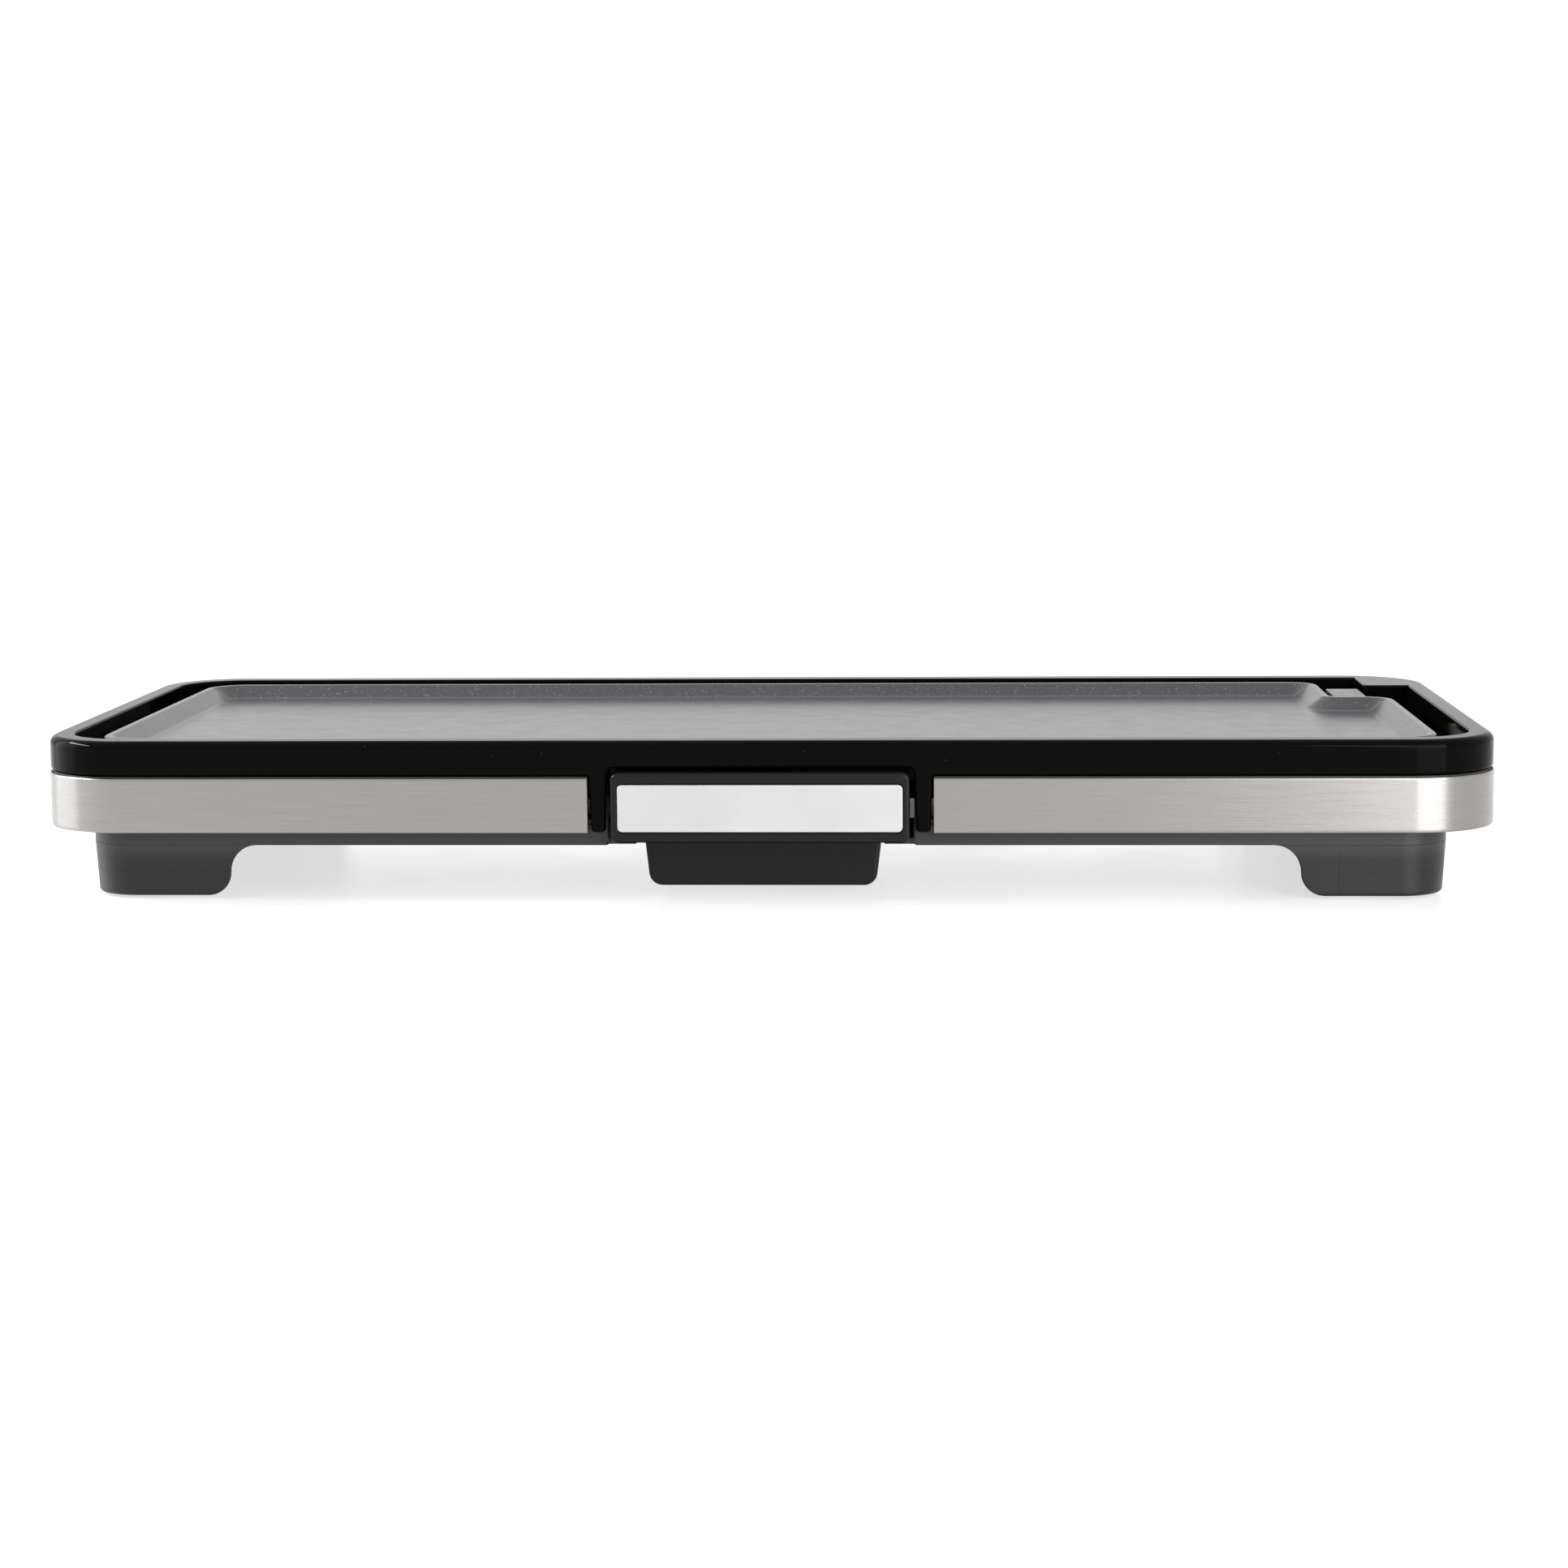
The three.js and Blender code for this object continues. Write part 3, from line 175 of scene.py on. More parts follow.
def body_outline(inset):
    edge = HALF_X - inset
    return rounded_rect(-edge, edge, inset, DEPTH - inset, BODY_CORNER - inset, 18)


def plinth_outline(inset):
    edge = PLINTH_HALF_X - inset
    front, rear = PLINTH_FRONT + inset, PLINTH_REAR - inset
    return rounded_rect(-edge, edge, front, rear, PLINTH_CORNER - inset, 18)


def opening_outline(outset):
    """The frame's inner edge, which steps round the platform at the rear right corner."""
    radius = RIM_CORNER + outset
    near, far = RIM_HALF_X - RIM_CORNER, RIM_FRONT + RIM_CORNER
    step = PLATFORM_CORNER - outset
    step_x, step_y = PLATFORM_LEFT + PLATFORM_CORNER, PLATFORM_FRONT + PLATFORM_CORNER
    return [
        *arc(-near, far, radius, 180, 270, 14),
        *arc(near, far, radius, 270, 360, 14),
        (RIM_HALF_X + outset, PLATFORM_FRONT + outset),
        *arc(step_x, step_y, step, 270, 180, 6),
        (PLATFORM_LEFT + outset, RIM_REAR + outset),
        *arc(-near, RIM_REAR - RIM_CORNER, radius, 90, 180, 14),
    ]


def plate_outline(inset):
    """The plate's edge with its square notch at the rear right corner."""
    main, convex, concave = PLATE_CORNER - inset, NOTCH_CONVEX - inset, NOTCH_CONCAVE + inset
    side, front, rear = PLATE_HIGH.x - PLATE_CORNER, PLATE_LOW.y, PLATE_HIGH.y
    return [
        *arc(-side, front + PLATE_CORNER, main, 180, 270),
        *arc(side, front + PLATE_CORNER, main, 270, 360),
        *arc(PLATE_HIGH.x - NOTCH_CONVEX, NOTCH_Y - NOTCH_CONVEX, convex, 0, 90),
        *arc(NOTCH_X + NOTCH_CONCAVE, NOTCH_Y + NOTCH_CONCAVE, concave, 270, 180),
        *arc(NOTCH_X - NOTCH_CONVEX, rear - NOTCH_CONVEX, convex, 0, 90),
        *arc(-side, rear - PLATE_CORNER, main, 90, 180),
    ]


def rounding(offset, height, radius, start, end, steps=6):
    """Profile points (offset, height) round an edge, with angles in degrees."""
    return arc(offset, height, radius, start, end, steps)


# ---- Mesh work ----


def edit(piece, work):
    """Runs work on the piece's mesh as a bmesh."""
    mesh = bmesh.new()
    mesh.from_mesh(piece.data)
    work(mesh)
    mesh.to_mesh(piece.data)
    mesh.free()


def clean(mesh):
    bmesh.ops.remove_doubles(mesh, verts=mesh.verts, dist=1e-4)
    bmesh.ops.dissolve_degenerate(mesh, edges=mesh.edges, dist=1e-4)
    bmesh.ops.recalc_face_normals(mesh, faces=mesh.faces)


def solid(name, vertices, faces):
    mesh = bpy.data.meshes.new(name)
    mesh.from_pydata(vertices, [], faces)
    piece = bpy.data.objects.new(name, mesh)
    bpy.context.scene.collection.objects.link(piece)
    return piece


def loft(name, loops, ring=False):
    """Skin over loops of equal length. Open ends are capped; a ring joins its last loop to its first."""
    count = len(loops[0])
    faces = []
    for row in range(len(loops) if ring else len(loops) - 1):
        here, there = row * count, (row + 1) % len(loops) * count
        for i in range(count):
            j = (i + 1) % count
            faces.append((here + i, here + j, there + j, there + i))
    total = count * len(loops)
    if not ring:
        faces.append(tuple(reversed(range(count))))
        faces.append(tuple(range(total - count, total)))
    piece = solid(name, [point for loop in loops for point in loop], faces)
    edit(piece, clean)
    return piece


def levels(outline, profile):
    """Loops of an outline at each (inset, height) of a profile."""
    return [[(x, y, z) for x, y in outline(inset)] for inset, z in profile]


def prism_z(outline, low, high):
    return loft("tool", [[(x, y, z) for x, y in outline] for z in (low, high)])


def prism_y(outline, low, high):
    """The outline is given in X and Z."""
    return loft("tool", [[(x, y, z) for x, z in outline] for y in (low, high)])


def box(x0, x1, y0, y1, z0, z1):
    return prism_z([(x0, y0), (x1, y0), (x1, y1), (x0, y1)], z0, z1)


AXES = {
    "Z": Matrix.Identity(4),
    "Y": Matrix(((1, 0, 0, 0), (0, 0, 1, 0), (0, -1, 0, 0), (0, 0, 0, 1))),
    "X": Matrix(((0, 0, 1, 0), (1, 0, 0, 0), (0, 1, 0, 0), (0, 0, 0, 1))),
}


def turned(name, profile, place=(0, 0, 0), axis="Z", steps=40):
    """Turns a profile of (radius, height) round an axis; the profile closes on itself or on the axis."""
    loops = []
    for i in range(steps):
        turn = math.tau * i / steps
        loops.append([(r * math.cos(turn), r * math.sin(turn), h) for r, h in profile])
    piece = loft(name, loops, ring=True)
    piece.data.transform(Matrix.Translation(place) @ AXES[axis])
    edit(piece, lambda mesh: bmesh.ops.recalc_face_normals(mesh, faces=mesh.faces))
    return piece


def rod(radius, low, high, place=(0, 0, 0), axis="Z", steps=32):
    return turned("tool", [(0, low), (radius, low), (radius, high), (0, high)], place, axis, steps)


def settle(piece):
    """Turns the piece's modifiers into mesh."""
    graph = bpy.context.evaluated_depsgraph_get()
    made = bpy.data.meshes.new_from_object(piece.evaluated_get(graph))
    old = piece.data
    piece.modifiers.clear()
    piece.data = made
    bpy.data.meshes.remove(old)
    return piece


def discard(*tools):
    for tool in tools:
        mesh = tool.data
        bpy.data.objects.remove(tool)
        bpy.data.meshes.remove(mesh)


def combine(piece, operation, tools):
    for tool in tools:
        modifier = piece.modifiers.new("combine", "BOOLEAN")
        modifier.operation = operation
        modifier.solver = "EXACT"
        modifier.object = tool
    settle(piece)
    discard(*tools)
    edit(piece, clean)
    return piece


def cut(piece, *tools):
    return combine(piece, "DIFFERENCE", tools)


def join(piece, *tools):
    return combine(piece, "UNION", tools)


def common(piece, *tools):
    return combine(piece, "INTERSECT", tools)


def round_edges(piece, width, share=None, segments=3, angle=35):
    """Rounds sharp edges. share gives the part of the width that an edge gets from its middle point."""

    def weigh(mesh):
        layer = mesh.edges.layers.float.new("bevel_weight_edge")
        for edge in mesh.edges:
            if len(edge.link_faces) == 2 and edge.calc_face_angle() > math.radians(angle):
                middle = (edge.verts[0].co + edge.verts[1].co) / 2
                edge[layer] = share(middle) if share else 1.0

    edit(piece, weigh)
    modifier = piece.modifiers.new("round", "BEVEL")
    modifier.width = width
    modifier.segments = segments
    modifier.limit_method = "WEIGHT"
    modifier.use_clamp_overlap = False
    settle(piece)
    edit(piece, clean)
    return piece


def shade(mesh, angle=38):
    mesh.shade_smooth()
    mesh.set_sharp_from_angle(angle=math.radians(angle))


def add_flat_normals(piece):
    """Keeps broad faces flat beside their rounded edges."""
    modifier = piece.modifiers.new("normals", "WEIGHTED_NORMAL")
    modifier.keep_sharp = True
    modifier.weight = 80


def finish(piece, *nodes):
    """Gives a piece its place, body and material, the material taken from the slot of the CAD nodes that it
    stands for, and hides those nodes.
    """
    piece.data.transform(TO_ROW)
    piece.data.materials.clear()
    piece.data.materials.append(MATERIALS[SLOT_OF[nodes[0]]])
    shade(piece.data)
    add_flat_normals(piece)
    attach(piece, NODES[nodes[0]]["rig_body"])
    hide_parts(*nodes)
    return piece


# ---- Materials ----


class Surface:
    """A Principled material that is built up layer by layer; sizes are in millimetres."""

    def __init__(self, name, color, roughness, **settings):
        self.material = bpy.data.materials.new(name)
        self.material.use_nodes = True
        self.tree = self.material.node_tree
        self.shader = self.tree.nodes["Principled BSDF"]
        self.shader.inputs["Base Color"].default_value = (*color, 1)
        self.shader.inputs["Roughness"].default_value = roughness
        for socket, value in settings.items():
            self.shader.inputs[socket.replace("_", " ")].default_value = value
        self.color = color
        self.roughness = roughness
        self.place = self.add("ShaderNodeTexCoord").outputs["Object"]
        self.normal = None

    def add(self, kind, **values):
        node = self.tree.nodes.new(kind)
        for name, value in values.items():
            setattr(node, name, value)
        return node

    def link(self, source, target):
        self.tree.links.new(source, target)

    def noise(self, size, detail=2.0, stretch=(1, 1, 1), place=None):
        """Noise with features of a size, drawn out along the axes by stretch."""
        mapping = self.add("ShaderNodeMapping")
        mapping.inputs["Scale"].default_value = [1000 / size / part for part in stretch]
        self.link(place or self.place, mapping.inputs["Vector"])
        noise = self.add("ShaderNodeTexNoise")
        noise.inputs["Scale"].default_value = 1.0
        noise.inputs["Detail"].default_value = detail
        self.link(mapping.outputs["Vector"], noise.inputs["Vector"])
        return noise.outputs["Fac"]

    def spots(self, size, share):
        """1 inside small round spots that cover a share of the cells, else 0."""
        mapping = self.add("ShaderNodeMapping")
        mapping.inputs["Scale"].default_value = [1000 / size] * 3
        self.link(self.place, mapping.inputs["Vector"])
        cells = self.add("ShaderNodeTexVoronoi")
        cells.inputs["Scale"].default_value = 1.0
        self.link(mapping.outputs["Vector"], cells.inputs["Vector"])
        near = self.add("ShaderNodeMath", operation="LESS_THAN")
        near.inputs[1].default_value = 0.32
        self.link(cells.outputs["Distance"], near.inputs[0])
        tone = self.add("ShaderNodeSeparateColor")
        self.link(cells.outputs["Color"], tone.inputs["Color"])
        chosen = self.add("ShaderNodeMath", operation="LESS_THAN")
        chosen.inputs[1].default_value = share
        self.link(tone.outputs["Red"], chosen.inputs[0])
        both = self.add("ShaderNodeMath", operation="MULTIPLY")
        self.link(near.outputs[0], both.inputs[0])
        self.link(chosen.outputs[0], both.inputs[1])
        return both.outputs[0]

    def spread(self, factor, low, high, source=(0.3, 0.7)):
        """Maps a noise value from its usual range to low..high."""
        node = self.add("ShaderNodeMapRange")
        node.inputs["From Min"].default_value, node.inputs["From Max"].default_value = source
        node.inputs["To Min"].default_value = low
        node.inputs["To Max"].default_value = high
        self.link(factor, node.inputs["Value"])
        return node.outputs["Result"]

    def tint(self, factor, other):
        """Blends the colour so far towards another by factor."""
        mix = self.add("ShaderNodeMix", data_type="RGBA")
        color = self.shader.inputs["Base Color"]
        if color.is_linked:
            self.link(color.links[0].from_socket, mix.inputs["A"])
        else:
            mix.inputs["A"].default_value = color.default_value
        mix.inputs["B"].default_value = (*other, 1)
        self.link(factor, mix.inputs["Factor"])
        self.link(mix.outputs["Result"], color)
        return self

    def mottle(self, size, amount, detail=3.0, stretch=(1, 1, 1), place=None):
        """Uneven colour: up to amount lighter in soft patches of a size."""
        factor = self.spread(self.noise(size, detail, stretch, place), 0, 1)
        lighter = [min(1.0, part * (1 + amount)) for part in self.color]
        return self.tint(factor, lighter)

    def polish(self, size, amount, detail=3.0, stretch=(1, 1, 1), place=None):
        """Uneven roughness round the surface's own."""
        factor = self.noise(size, detail, stretch, place)
        value = self.spread(factor, self.roughness - amount, self.roughness + amount)
        self.link(value, self.shader.inputs["Roughness"])
        return self

    def relief(self, factor, height, strength=1.0):
        """Adds a bump of a height in millimetres on top of the ones so far."""
        bump = self.add("ShaderNodeBump")
        bump.inputs["Distance"].default_value = height / 1000
        bump.inputs["Strength"].default_value = strength
        self.link(factor, bump.inputs["Height"])
        if self.normal:
            self.link(self.normal, bump.inputs["Normal"])
        self.normal = bump.outputs["Normal"]
        self.link(self.normal, self.shader.inputs["Normal"])
        return self

    def grain(self, size, height, detail=2.0, stretch=(1, 1, 1), place=None):
        return self.relief(self.noise(size, detail, stretch, place), height)


def charcoal_plastic():
    """Matt grained plastic, with painted shade that darkens the legs towards the floor below the plinth,
    where they stand in the body's shade.
    """
    surface = Surface("charcoal_plastic", (0.021, 0.0213, 0.0215), 0.4, Specular_IOR_Level=0.36)
    place = surface.add("ShaderNodeSeparateXYZ")
    surface.link(surface.place, place.inputs["Vector"])
    # Painted shade: below the plinth the colour darkens towards the floor, standing in for the body's shade
    # on the legs.
    surface.tint(surface.spread(place.outputs["Z"], 1, 0, (0.016, 0.021)), (0.006, 0.0061, 0.0062))
    surface.polish(11, 0.04)
    return surface.grain(0.55, 0.012).grain(6, 0.03)


def gloss_black_plastic():
    surface = Surface("gloss_black_plastic", (0.0016, 0.0016, 0.0014), 0.06, Specular_IOR_Level=0.03)
    surface.polish(18, 0.015).grain(42, 0.012, 1.0)
    return surface.tint(surface.spots(0.9, 0.0015), (0.02, 0.02, 0.02))


def brushed_band():
    surface = Surface("brushed_band", (0.285, 0.273, 0.262), 0.3, Metallic=1.0, Anisotropic=0.6)
    surface.shader.inputs["Anisotropic Rotation"].default_value = 0.25
    tangent = surface.add("ShaderNodeTangent", direction_type="UV_MAP", uv_map="along")
    surface.link(tangent.outputs["Tangent"], surface.shader.inputs["Tangent"])
    along = surface.add("ShaderNodeUVMap", uv_map="along").outputs["UV"]
    long_lines, fine_lines = (90, 1, 1), (40, 1, 1)
    surface.mottle(0.3, 0.12, 2.0, long_lines, along)
    surface.polish(0.4, 0.05, 2.0, long_lines, along)
    surface.grain(0.3, 0.0016, 3.0, fine_lines, along)
    return surface.grain(0.16, 0.0012, 1.0, long_lines, along)


def sheet_aluminium():
    surface = Surface("sheet_aluminium", (0.52, 0.53, 0.54), 0.38, Metallic=1.0)
    surface.mottle(20, 0.15).polish(6, 0.08)
    return surface.grain(0.5, 0.004, 3.0, (30, 1, 1))


def zinc_steel():
    surface = Surface("zinc_steel", (0.5, 0.52, 0.54), 0.34, Metallic=1.0)
    return surface.mottle(7, 0.25).polish(2.5, 0.1).grain(1.2, 0.006)


def foot_rubber():
    surface = Surface("foot_rubber", (0.012, 0.012, 0.012), 0.82, Specular_IOR_Level=0.3)
    return surface.mottle(5, 0.5).grain(0.4, 0.03)


def rest_silicone():
    surface = Surface("rest_silicone", (0.19, 0.045, 0.026), 0.6, Specular_IOR_Level=0.35)
    return surface.mottle(6, 0.25).grain(0.6, 0.02)


def element_sheath():
    surface = Surface("element_sheath", (0.075, 0.08, 0.07), 0.5, Metallic=0.8)
    return surface.mottle(9, 0.9, 5.0).polish(3, 0.12).grain(0.8, 0.02)


def ceramic_body():
    surface = Surface("ceramic_body", (0.72, 0.69, 0.6), 0.55)
    return surface.mottle(5, 0.12).polish(2, 0.08).grain(0.7, 0.03)


def satin_grey_plastic():
    surface = Surface("satin_grey_plastic", (0.1, 0.1, 0.1), 0.36)
    return surface.mottle(15, 0.2).polish(5, 0.05).grain(0.5, 0.01)


def terminal_brass():
    surface = Surface("terminal_brass", (0.55, 0.38, 0.13), 0.3, Metallic=1.0)
    return surface.mottle(4, 0.25).polish(1.5, 0.08).grain(0.5, 0.005)


def nonstick_cast():
    """Sprayed coating: dark ground, fine light flecks and a slight orange peel."""
    surface = Surface("nonstick_cast", (0.026, 0.026, 0.029), 0.22, Specular_IOR_Level=0.5)
    surface.mottle(40, 0.15).polish(12, 0.02)
    surface.tint(surface.spots(0.5, 0.3), (0.09, 0.09, 0.1))
    surface.tint(surface.spots(0.9, 0.06), (0.14, 0.14, 0.15))
    return surface.grain(0.9, 0.0025).grain(0.35, 0.002)


def satin_black_plastic():
    surface = Surface("satin_black_plastic", (0.0048, 0.0048, 0.0044), 0.32, Specular_IOR_Level=0.17)
    return surface.mottle(28, 0.2).polish(9, 0.04).grain(0.45, 0.007)


def satin_silver():
    surface = Surface("satin_silver", (0.55, 0.552, 0.548), 0.4, Metallic=1.0)
    surface.mottle(24, 0.04).polish(12, 0.03)
    return surface.grain(0.3, 0.002)


def lamp_lens():
    surface = Surface("lamp_lens", (0.55, 0.03, 0.01), 0.12, Transmission_Weight=0.55, IOR=1.49)
    return surface.mottle(1.5, 0.2).grain(0.9, 0.01)


MATERIALS = {
    make.__name__: make().material
    for make in (
        *(charcoal_plastic, gloss_black_plastic, satin_black_plastic, satin_grey_plastic),
        *(brushed_band, satin_silver, sheet_aluminium, zinc_steel, element_sheath, terminal_brass),
        *(nonstick_cast, ceramic_body, foot_rubber, rest_silicone, lamp_lens),
    )
}


# ---- Frame ----


def inside_body(point):
    """How far a point lies inside the body's outline; 0 on it."""
    x = abs(point.x) - (HALF_X - BODY_CORNER)
    y = abs(point.y - DEPTH / 2) - (DEPTH / 2 - BODY_CORNER)
    outside = math.hypot(max(x, 0), max(y, 0))
    return BODY_CORNER - outside - min(max(x, y), 0)


def below_frame_front():
    """What is cut away below the fascia: all but the two tabs, and a little more above the drawer."""
    foot, neck, far = span("top_frame")[0].z, FRAME_BOTTOM, HALF_X + 50
    near, foot_near, foot_far, outer = BAY_HALF_X, 62.1, 67.9, 68.6
    radius, relief, hollow = 1.5, FRAME_BOTTOM + 2.9, 1.0
    right = [
        *arc(near - 2, relief - 2, 2, 90, 0, 6),
        (near, neck),
        *arc(foot_near + radius, foot + radius, radius, 180, 270, 5),
        *arc(foot_far - radius, foot + radius, radius, 270, 360, 5),
        *arc(outer + hollow, neck - hollow, hollow, 180, 90, 4),
        (far, neck),
        (far, 0),
    ]
    left = [(-x, z) for x, z in reversed(right)]
    return [*left, *right]


def below_frame_rear():
    """What is cut away below the fascia at the back: all but the panel round the controller opening."""
    foot, neck, far = span("top_frame")[0].z, FRAME_BOTTOM, HALF_X + 50
    return [
        (-far, 0),
        (-far, neck),
        (SOCKET_TAB_LEFT, neck),
        *arc(SOCKET_TAB_LEFT + 1.2, foot + 1.2, 1.2, 180, 270, 4),
        *arc(SOCKET_TAB_RIGHT - 1.2, foot + 1.2, 1.2, 270, 360, 4),
        (SOCKET_TAB_RIGHT, neck),
        (far, neck),
        (far, 0),
    ]


def top_frame():
    """Gloss ring with a rounded crown, tabs at the front, platform and controller opening at the rear."""
    foot = span("top_frame")[0].z
    crown = rounding(FRAME_FILLET, TOP - FRAME_FILLET, FRAME_FILLET, 180, 90, 10)
    piece = loft("gloss_top_frame", levels(body_outline, [(0, foot - 2), *crown]))
    behind_tabs = box(-80, 80, TAB_THICKNESS, FRAME_SKIN + 1, 0, FRAME_BOTTOM - 0.5)
    panel_back = DEPTH - TAB_THICKNESS
    behind_panel = box(200, 280, DEPTH - FRAME_SKIN - 1, panel_back, 0, FRAME_BOTTOM - 0.5)
    cut(
        piece,
        prism_z(body_outline(FRAME_SKIN), 0, TOP - ROOF),
        prism_y(below_frame_front(), -5, DEPTH / 2),
        prism_y(below_frame_rear(), DEPTH / 2 - 5, DEPTH + 5),
        behind_tabs,
        behind_panel,
    )
    posts = []
    pilots = []
    for name, _, _ in CORNERS:
        place = upright(f"frame_screw_{name}")
        screw_top = span(f"frame_screw_{name}")[1].z
        posts.append(rod(3.2, LIP_TOP + 0.3, TOP - 2, place))
        pilots.append(rod(PILOT_RADIUS, LIP_TOP - 1, screw_top + 2, place, steps=20))
    join(piece, prism_z(opening_outline(RIM_WALL), RIM_BOTTOM, TOP - 1), *posts)
    socket = rounded_rect(SOCKET_LEFT, SOCKET_RIGHT, SOCKET_BOTTOM, SOCKET_TOP, 2, 5)
    clip_hole = rod(1.5, PLATFORM_LEFT - 1, PLATFORM_LEFT + 3, (0, 232, TOP - 5.8), "X", 24)
    cut(
        piece,
        prism_z(opening_outline(0), RIM_BOTTOM - 1, TOP + 1),
        prism_y(socket, DEPTH - 5, DEPTH + 5),
        clip_hole,
        *pilots,
    )

    def share(middle):
        if inside_body(middle) < 0.05 and middle.z < FRAME_BOTTOM + 3.2:
            return 1.0
        if middle.z > TOP - 0.05:
            return 0.7
        return 0.15

    round_edges(piece, LIP_ROUNDING, share, 5)
    return finish(piece, "top_frame")


# ---- Steel bands ----


def band_path(side, inset):
    """Line of a band from the drawer round its side to the controller opening, moved in by inset."""
    near, radius = HALF_X - BODY_CORNER, BODY_CORNER - inset
    rear = [(SOCKET_TAB_LEFT - 2, DEPTH - inset)]
    turn = 90
    if side > 0:
        turn = math.degrees(math.acos((SOCKET_TAB_RIGHT + 2 - near) / radius))
        rear = []
    path = [
        (BAND_END, inset),
        *arc(near, BODY_CORNER, radius, 270, 360, 28),
        *arc(near, DEPTH - BODY_CORNER, radius, 0, turn, 28),
    ]
    return [(side * x, y) for x, y in path] + rear


def band_section():
    """Section of the strip as (inset, height), with its edges rolled inwards."""
    low, high = BAND_LOW.z, BAND_HIGH.z
    outer, inner, roll = -BAND_PROUD, BAND_THICKNESS - BAND_PROUD, 0.4
    section = []
    for step in range(7):
        turn = math.radians(90 * step / 6)
        section.append((outer + roll * (1 - math.sin(turn)), low + 1.5 * (1 - math.cos(turn))))
    for step in range(6):
        turn = math.radians(90 * step / 5)
        section.append((outer + roll * (1 - math.cos(turn)), high - 0.9 * (1 - math.sin(turn))))
    return [*section, (inner, high - 0.3), (inner, low + 0.3)]


def steel_band(side, name, node):
    """Brushed strip bent round one side of the body."""
    section = band_section()
    paths = [band_path(side, inset) for inset, _ in section]
    loops = []
    for i in range(len(paths[0])):
        loops.append([(path[i][0], path[i][1], z) for path, (_, z) in zip(paths, section)])
    piece = loft(name, loops)
    lay_band_uv(piece, side)
    return finish(piece, node)


def lay_band_uv(piece, side):
    """UV in metres: along the strip, then up. Brushing and its sheen follow it."""
    line = band_path(side, 0)
    starts = [0.0]
    for (x0, y0), (x1, y1) in zip(line, line[1:]):
        starts.append(starts[-1] + math.hypot(x1 - x0, y1 - y0))
    layer = piece.data.uv_layers.new(name="along")
    for loop in piece.data.loops:
        point = piece.data.vertices[loop.vertex_index].co
        layer.data[loop.index].uv = (length_along(line, starts, point) / 1000, point.z / 1000)


def length_along(line, starts, point):
    best = (1e9, 0.0)
    for i, ((x0, y0), (x1, y1)) in enumerate(zip(line, line[1:])):
        run = starts[i + 1] - starts[i]
        along = ((point.x - x0) * (x1 - x0) + (point.y - y0) * (y1 - y0)) / run
        along = min(max(along, 0), run)
        near_x = x0 + (x1 - x0) * along / run
        near_y = y0 + (y1 - y0) * along / run
        best = min(best, (math.hypot(point.x - near_x, point.y - near_y), starts[i] + along))
    return best[1]


# ---- Base and legs ----


def base_housing():
    """Floor and plinth, with the posts and bosses that stand on the floor."""
    foot = rounding(0.2, PLINTH_BOTTOM + 0.2, 0.2, 270, 180, 3)
    piece = loft("base_floor_and_plinth", levels(plinth_outline, [*foot, (0, LIP_TOP)]))
    lip = prism_z(plinth_outline(-PLINTH_LIP), LIP_BOTTOM, LIP_TOP)
    common(lip, prism_z(body_outline(3.7), LIP_BOTTOM - 1, LIP_TOP + 1))
    join(piece, lip)
    cut(
        piece,
        prism_z(plinth_outline(PLINTH_SKIN), FLOOR_TOP, LIP_TOP + 1),
        box(-BAY_HALF_X, BAY_HALF_X, -1, BAY_DEPTH, 0, LIP_TOP + 1),
        box(-BAND_END, BAND_END, -1, 3.8, LIP_TOP - 5, LIP_TOP + 1),
        box(-TRAY_WAY_X, TRAY_WAY_X, -2, TRAY_WAY_REAR, 0, FLOOR_TOP + 1),
        box(SOCKET_LEFT, SOCKET_RIGHT, PLINTH_REAR - 17, DEPTH, LIP_BOTTOM, LIP_TOP + 1),
    )
    root = FLOOR_TOP - 1
    fittings = []
    holes = []
    for name, _, _ in CORNERS:
        rest_top = span(f"plate_rest_{name}")[1].z
        fittings.append(rod(6, root, rest_top - 3.4, upright(f"plate_rest_{name}")))
        place = upright(f"shield_screw_{name}")
        fittings.append(rod(4, root, span("heat_shield")[0].z - 0.3, place))
        holes.append(rod(PILOT_RADIUS, root + 0.5, FLOOR_TOP + 20, place, steps=20))
        place = upright(f"frame_screw_{name}")
        holes.append(rod(PILOT_RADIUS, LIP_BOTTOM - 1, LIP_TOP + 1, place, steps=20))
    for side in (-1, 1):
        near, far = sorted((side * 61.4, side * 63.4))
        fittings.append(box(near, far, 3.8, 19, root, RIM_BOTTOM - 0.5))
    block_low, block_high = span("terminal_block")
    stand = (block_low.x, block_high.x, block_low.y + 1, block_high.y - 1)
    fittings.append(box(*stand, root, block_low.z - 0.3))
    join(piece, *fittings)
    cut(piece, *holes)

    def share(middle):
        beside_bay = abs(abs(middle.x) - BAY_HALF_X) < 0.05 and middle.y < BAY_DEPTH
        return 1.0 if beside_bay and middle.z < PLINTH_BOTTOM + 1 else 0.25

    round_edges(piece, 1.2, share, 3)
    return finish(piece, "base_housing")


def quarter_round(radius, reach):
    """How far a quarter round has curved away after a reach past its start."""
    reach = min(max(reach, 0), radius)
    return radius - math.sqrt(radius**2 - reach**2)


